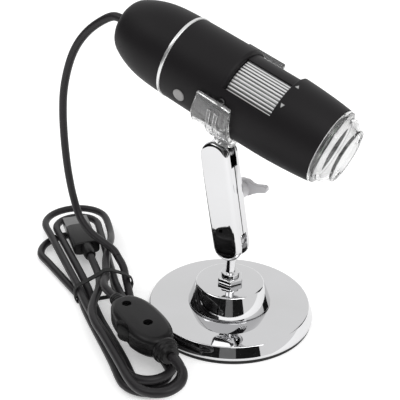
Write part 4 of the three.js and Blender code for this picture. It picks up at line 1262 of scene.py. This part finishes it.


# The lid screws take the darkened steel, painted shade for their pockets.
for i, (x, y) in enumerate(DIMMER_SCREWS):
    shank = upright_bar(SHANK_RADIUS, SHANK_BOTTOM, SHANK_TOP, x, y)
    head = soften(upright_bar(SCREW_HEAD, SCREW_HEAD_BOTTOM, SCREW_HEAD_TOP, x, y), 0.25)
    slots = [moved(block(*SLOT), shift(x, y, SLOT_Z) @ turn("Z", angle)) for angle in SLOT_ANGLES]
    piece(f"lid_screw_{i + 1}", cut(joined(shank, head), *slots), DIMMER, POCKET_SHADE_STEEL, "stem",
          [f"dimmer_screw_{i + 1}"])

for side, name, node in ((1, "dimmer_lid", "dimmer_top"), (-1, "dimmer_tray", "dimmer_bottom")):
    piece(name, cut(dimmer_half(side), *dimmer_cuts()), DIMMER, SATIN, "stem", [node])

outline = []
for i in range(THUMB_RIDGES):
    for share, radius in ((0, THUMB_GROOVE), (0.35, THUMB_RADIUS), (0.65, THUMB_RADIUS)):
        outline.append(around(radius, 360 * (i + share) / THUMB_RIDGES).xy)
thumb = soften(moved(prism(outline, 2 * THUMB_HALF), shift(0, 0, -THUMB_HALF)), 0.15, 2, 60)
thumbwheel = moved(joined(thumb, bar(AXLE_RADIUS, -AXLE_HALF, AXLE_HALF)), shift(*DIMMER_WHEEL, 0))
piece("dimmer_thumbwheel", thumbwheel, DIMMER, RUBBER, "dimmer_dial", ["dimmer_wheel"])

# The reliefs: (radius, share of the length) from the dimmer out along the cord.
NEAR_RELIEF = [(5.2, 0), (5.1, 0.28), (4.5, 0.34), (4.4, 0.6), (3.8, 0.66), (3.5, 1)]
FAR_RELIEF = [(3.2, 0), (3.2, 0.2), (2.6, 0.3), (3, 0.4), (3, 0.5), (2.5, 0.62), (2.8, 0.75), (2.4, 1)]
RELIEF_START = DIMMER_HALF_LENGTH + SEAM_GAP
for rings, side, name, node in (
    (NEAR_RELIEF, 1, "near_neck", "dimmer_relief_near"),
    (FAR_RELIEF, -1, "far_neck", "dimmer_relief_far"),
):
    profile = [(r, RELIEF_START + RELIEF_LENGTH * share) for r, share in rings]
    neck = soften(turned([(0, profile[0][1]), *profile, (0, profile[-1][1])], 48), 0.15, 2)
    piece(name, moved(neck, turn("Y", 90 * side)), DIMMER, SATIN, "stem", [node])

# The plug on the cord's end.
GRIP_HALF_WIDTH = 6.2
GRIP_HALF_HEIGHT = 3.4
GRIP_LENGTH = 20
SLEEVE_PROFILE = [
    (0, -SLEEVE_LENGTH),
    (2.4, -SLEEVE_LENGTH),
    (2.7, -6.5),
    (2.9, -3.7),
    (3.1, 0.5),
    (0, 0.5),
]
grip = soften(prism(rounded_outline(GRIP_HALF_WIDTH, GRIP_HALF_HEIGHT, 4, 96), GRIP_LENGTH), 0.8, 4, 50)
plug = moved(joined(grip, turned(SLEEVE_PROFILE, 64)), turn("Z", 90) @ turn("X", 90))
plug_grip = piece("plug_grip", plug, PLUG, SATIN, "stem", ["plug_body"])
declared(tail_piece, tail_line, "plug", "loose", with_pieces=[plug_grip])


# Finishes for the nodes that keep their own shape.
NODE_LOOKS = {
    "base_weight": STEEL,
    "base_screw": STEEL,
    "clamp_screw": STEEL,
    "clamp_washer": STEEL,
    "lens_carrier": BLACK,
    "lens": GLASS,
    "front_bezel": BLACK,
    "led_board": BOARD,
    "camera_board": BOARD,
    "button_board": BOARD,
    "sensor": BLACK,
    "plug_shell": PLUG_STEEL,
    "plug_tongue": RUBBER,
    "twist_tie": RUBBER,
    **{f"led_{i + 1}": LED for i in range(8)},
}
for thing in bpy.data.objects:
    look = NODE_LOOKS.get(thing.name.split(".")[0])
    if thing.type == "MESH" and look:
        for slot in thing.material_slots:
            slot.material = look


# The studio: a white floor and surround, with black cards for the chrome to show.
FLOOR_LEVEL = 0.9
FLOOR_GLOW = 0.3
FLOOR_SIZE = 4
VIEW = 32.0
CARD_DISTANCE = 1.1
CARD_HEIGHT = 1.0
BLACK_CARD = 0.012
GREY_CARD = 0.16
ROOM_LEVEL = 0.85
LAMP_SIZE = 0.9
AIM = Vector((0, 0, 0.06))


def matt(name, level, glow=0.0):
    """A plain matt grey that may glow a little."""
    material = bpy.data.materials.new(name)
    material.use_nodes = True
    shader = material.node_tree.nodes["Principled BSDF"]
    shader.inputs["Base Color"].default_value = (level, level, level, 1)
    shader.inputs["Roughness"].default_value = 0.9
    shader.inputs["Specular IOR Level"].default_value = 0.0
    shader.inputs["Emission Color"].default_value = (1, 1, 1, 1)
    shader.inputs["Emission Strength"].default_value = glow
    return material


def staged(name, shape, look):
    made = bpy.data.objects.new(name, mesh_of(shape, name))
    made.data.materials.append(look)
    bpy.context.scene.collection.objects.link(made)
    return made


ground = bmesh.new()
bmesh.ops.create_grid(ground, x_segments=1, y_segments=1, size=FLOOR_SIZE)
staged("floor", ground, matt("floor_white", FLOOR_LEVEL, FLOOR_GLOW))


def card(name, start, end, level):
    """A curved card round the object, its angles measured from the camera's side."""
    shape = bmesh.new()
    line = [shape.verts.new((0, -CARD_DISTANCE, z)) for z in (0, CARD_HEIGHT)]
    edge = shape.edges.new(line)
    bmesh.ops.spin(
        shape, geom=[*line, edge], cent=(0, 0, 0), axis=(0, 0, 1),
        angle=math.radians(end - start), steps=24,
    )
    shape.transform(turn("Z", VIEW + start))
    made = staged(name, shape, matt(name, level))
    made.visible_camera = False
    made.visible_diffuse = False
    made.visible_shadow = False


card("card_left", -130, -12, BLACK_CARD)
card("card_middle", -12, 8, GREY_CARD)
card("card_right", 8, 38, BLACK_CARD)
card("card_far_right", 102, 128, BLACK_CARD)

# The surround is a little dimmer where it lights matt surfaces than where it is seen.
world = bpy.data.worlds.new("studio")
bpy.context.scene.world = world
world.use_nodes = True
path = world.node_tree.nodes.new("ShaderNodeLightPath")
seen, shown, passed = (
    ShaderMaths(world.node_tree, path.outputs[ray])
    for ray in ("Is Camera Ray", "Is Glossy Ray", "Is Transmission Ray")
)
white = world.node_tree.nodes["Background"]
white.inputs["Color"].default_value = (1, 1, 1, 1)
strength = ROOM_LEVEL + (1 - ROOM_LEVEL) * seen.maths("MINIMUM", seen + shown + passed, 1.0)
world.node_tree.links.new(strength.socket, white.inputs["Strength"])


def softbox(name, place, power):
    """A square lamp that faces the object."""
    lamp = bpy.data.lights.new(name, "AREA")
    lamp.shape = "RECTANGLE"
    lamp.size = LAMP_SIZE
    lamp.size_y = LAMP_SIZE
    lamp.energy = power
    made = bpy.data.objects.new(name, lamp)
    made.location = place
    made.rotation_euler = (AIM - Vector(place)).to_track_quat("-Z", "Y").to_euler()
    bpy.context.scene.collection.objects.link(made)


softbox("key_light", (0.9, -0.5, 1.1), 8)
softbox("fill_light", (-0.8, -0.9, 1.2), 5)

bpy.context.scene.view_settings.view_transform = "Standard"
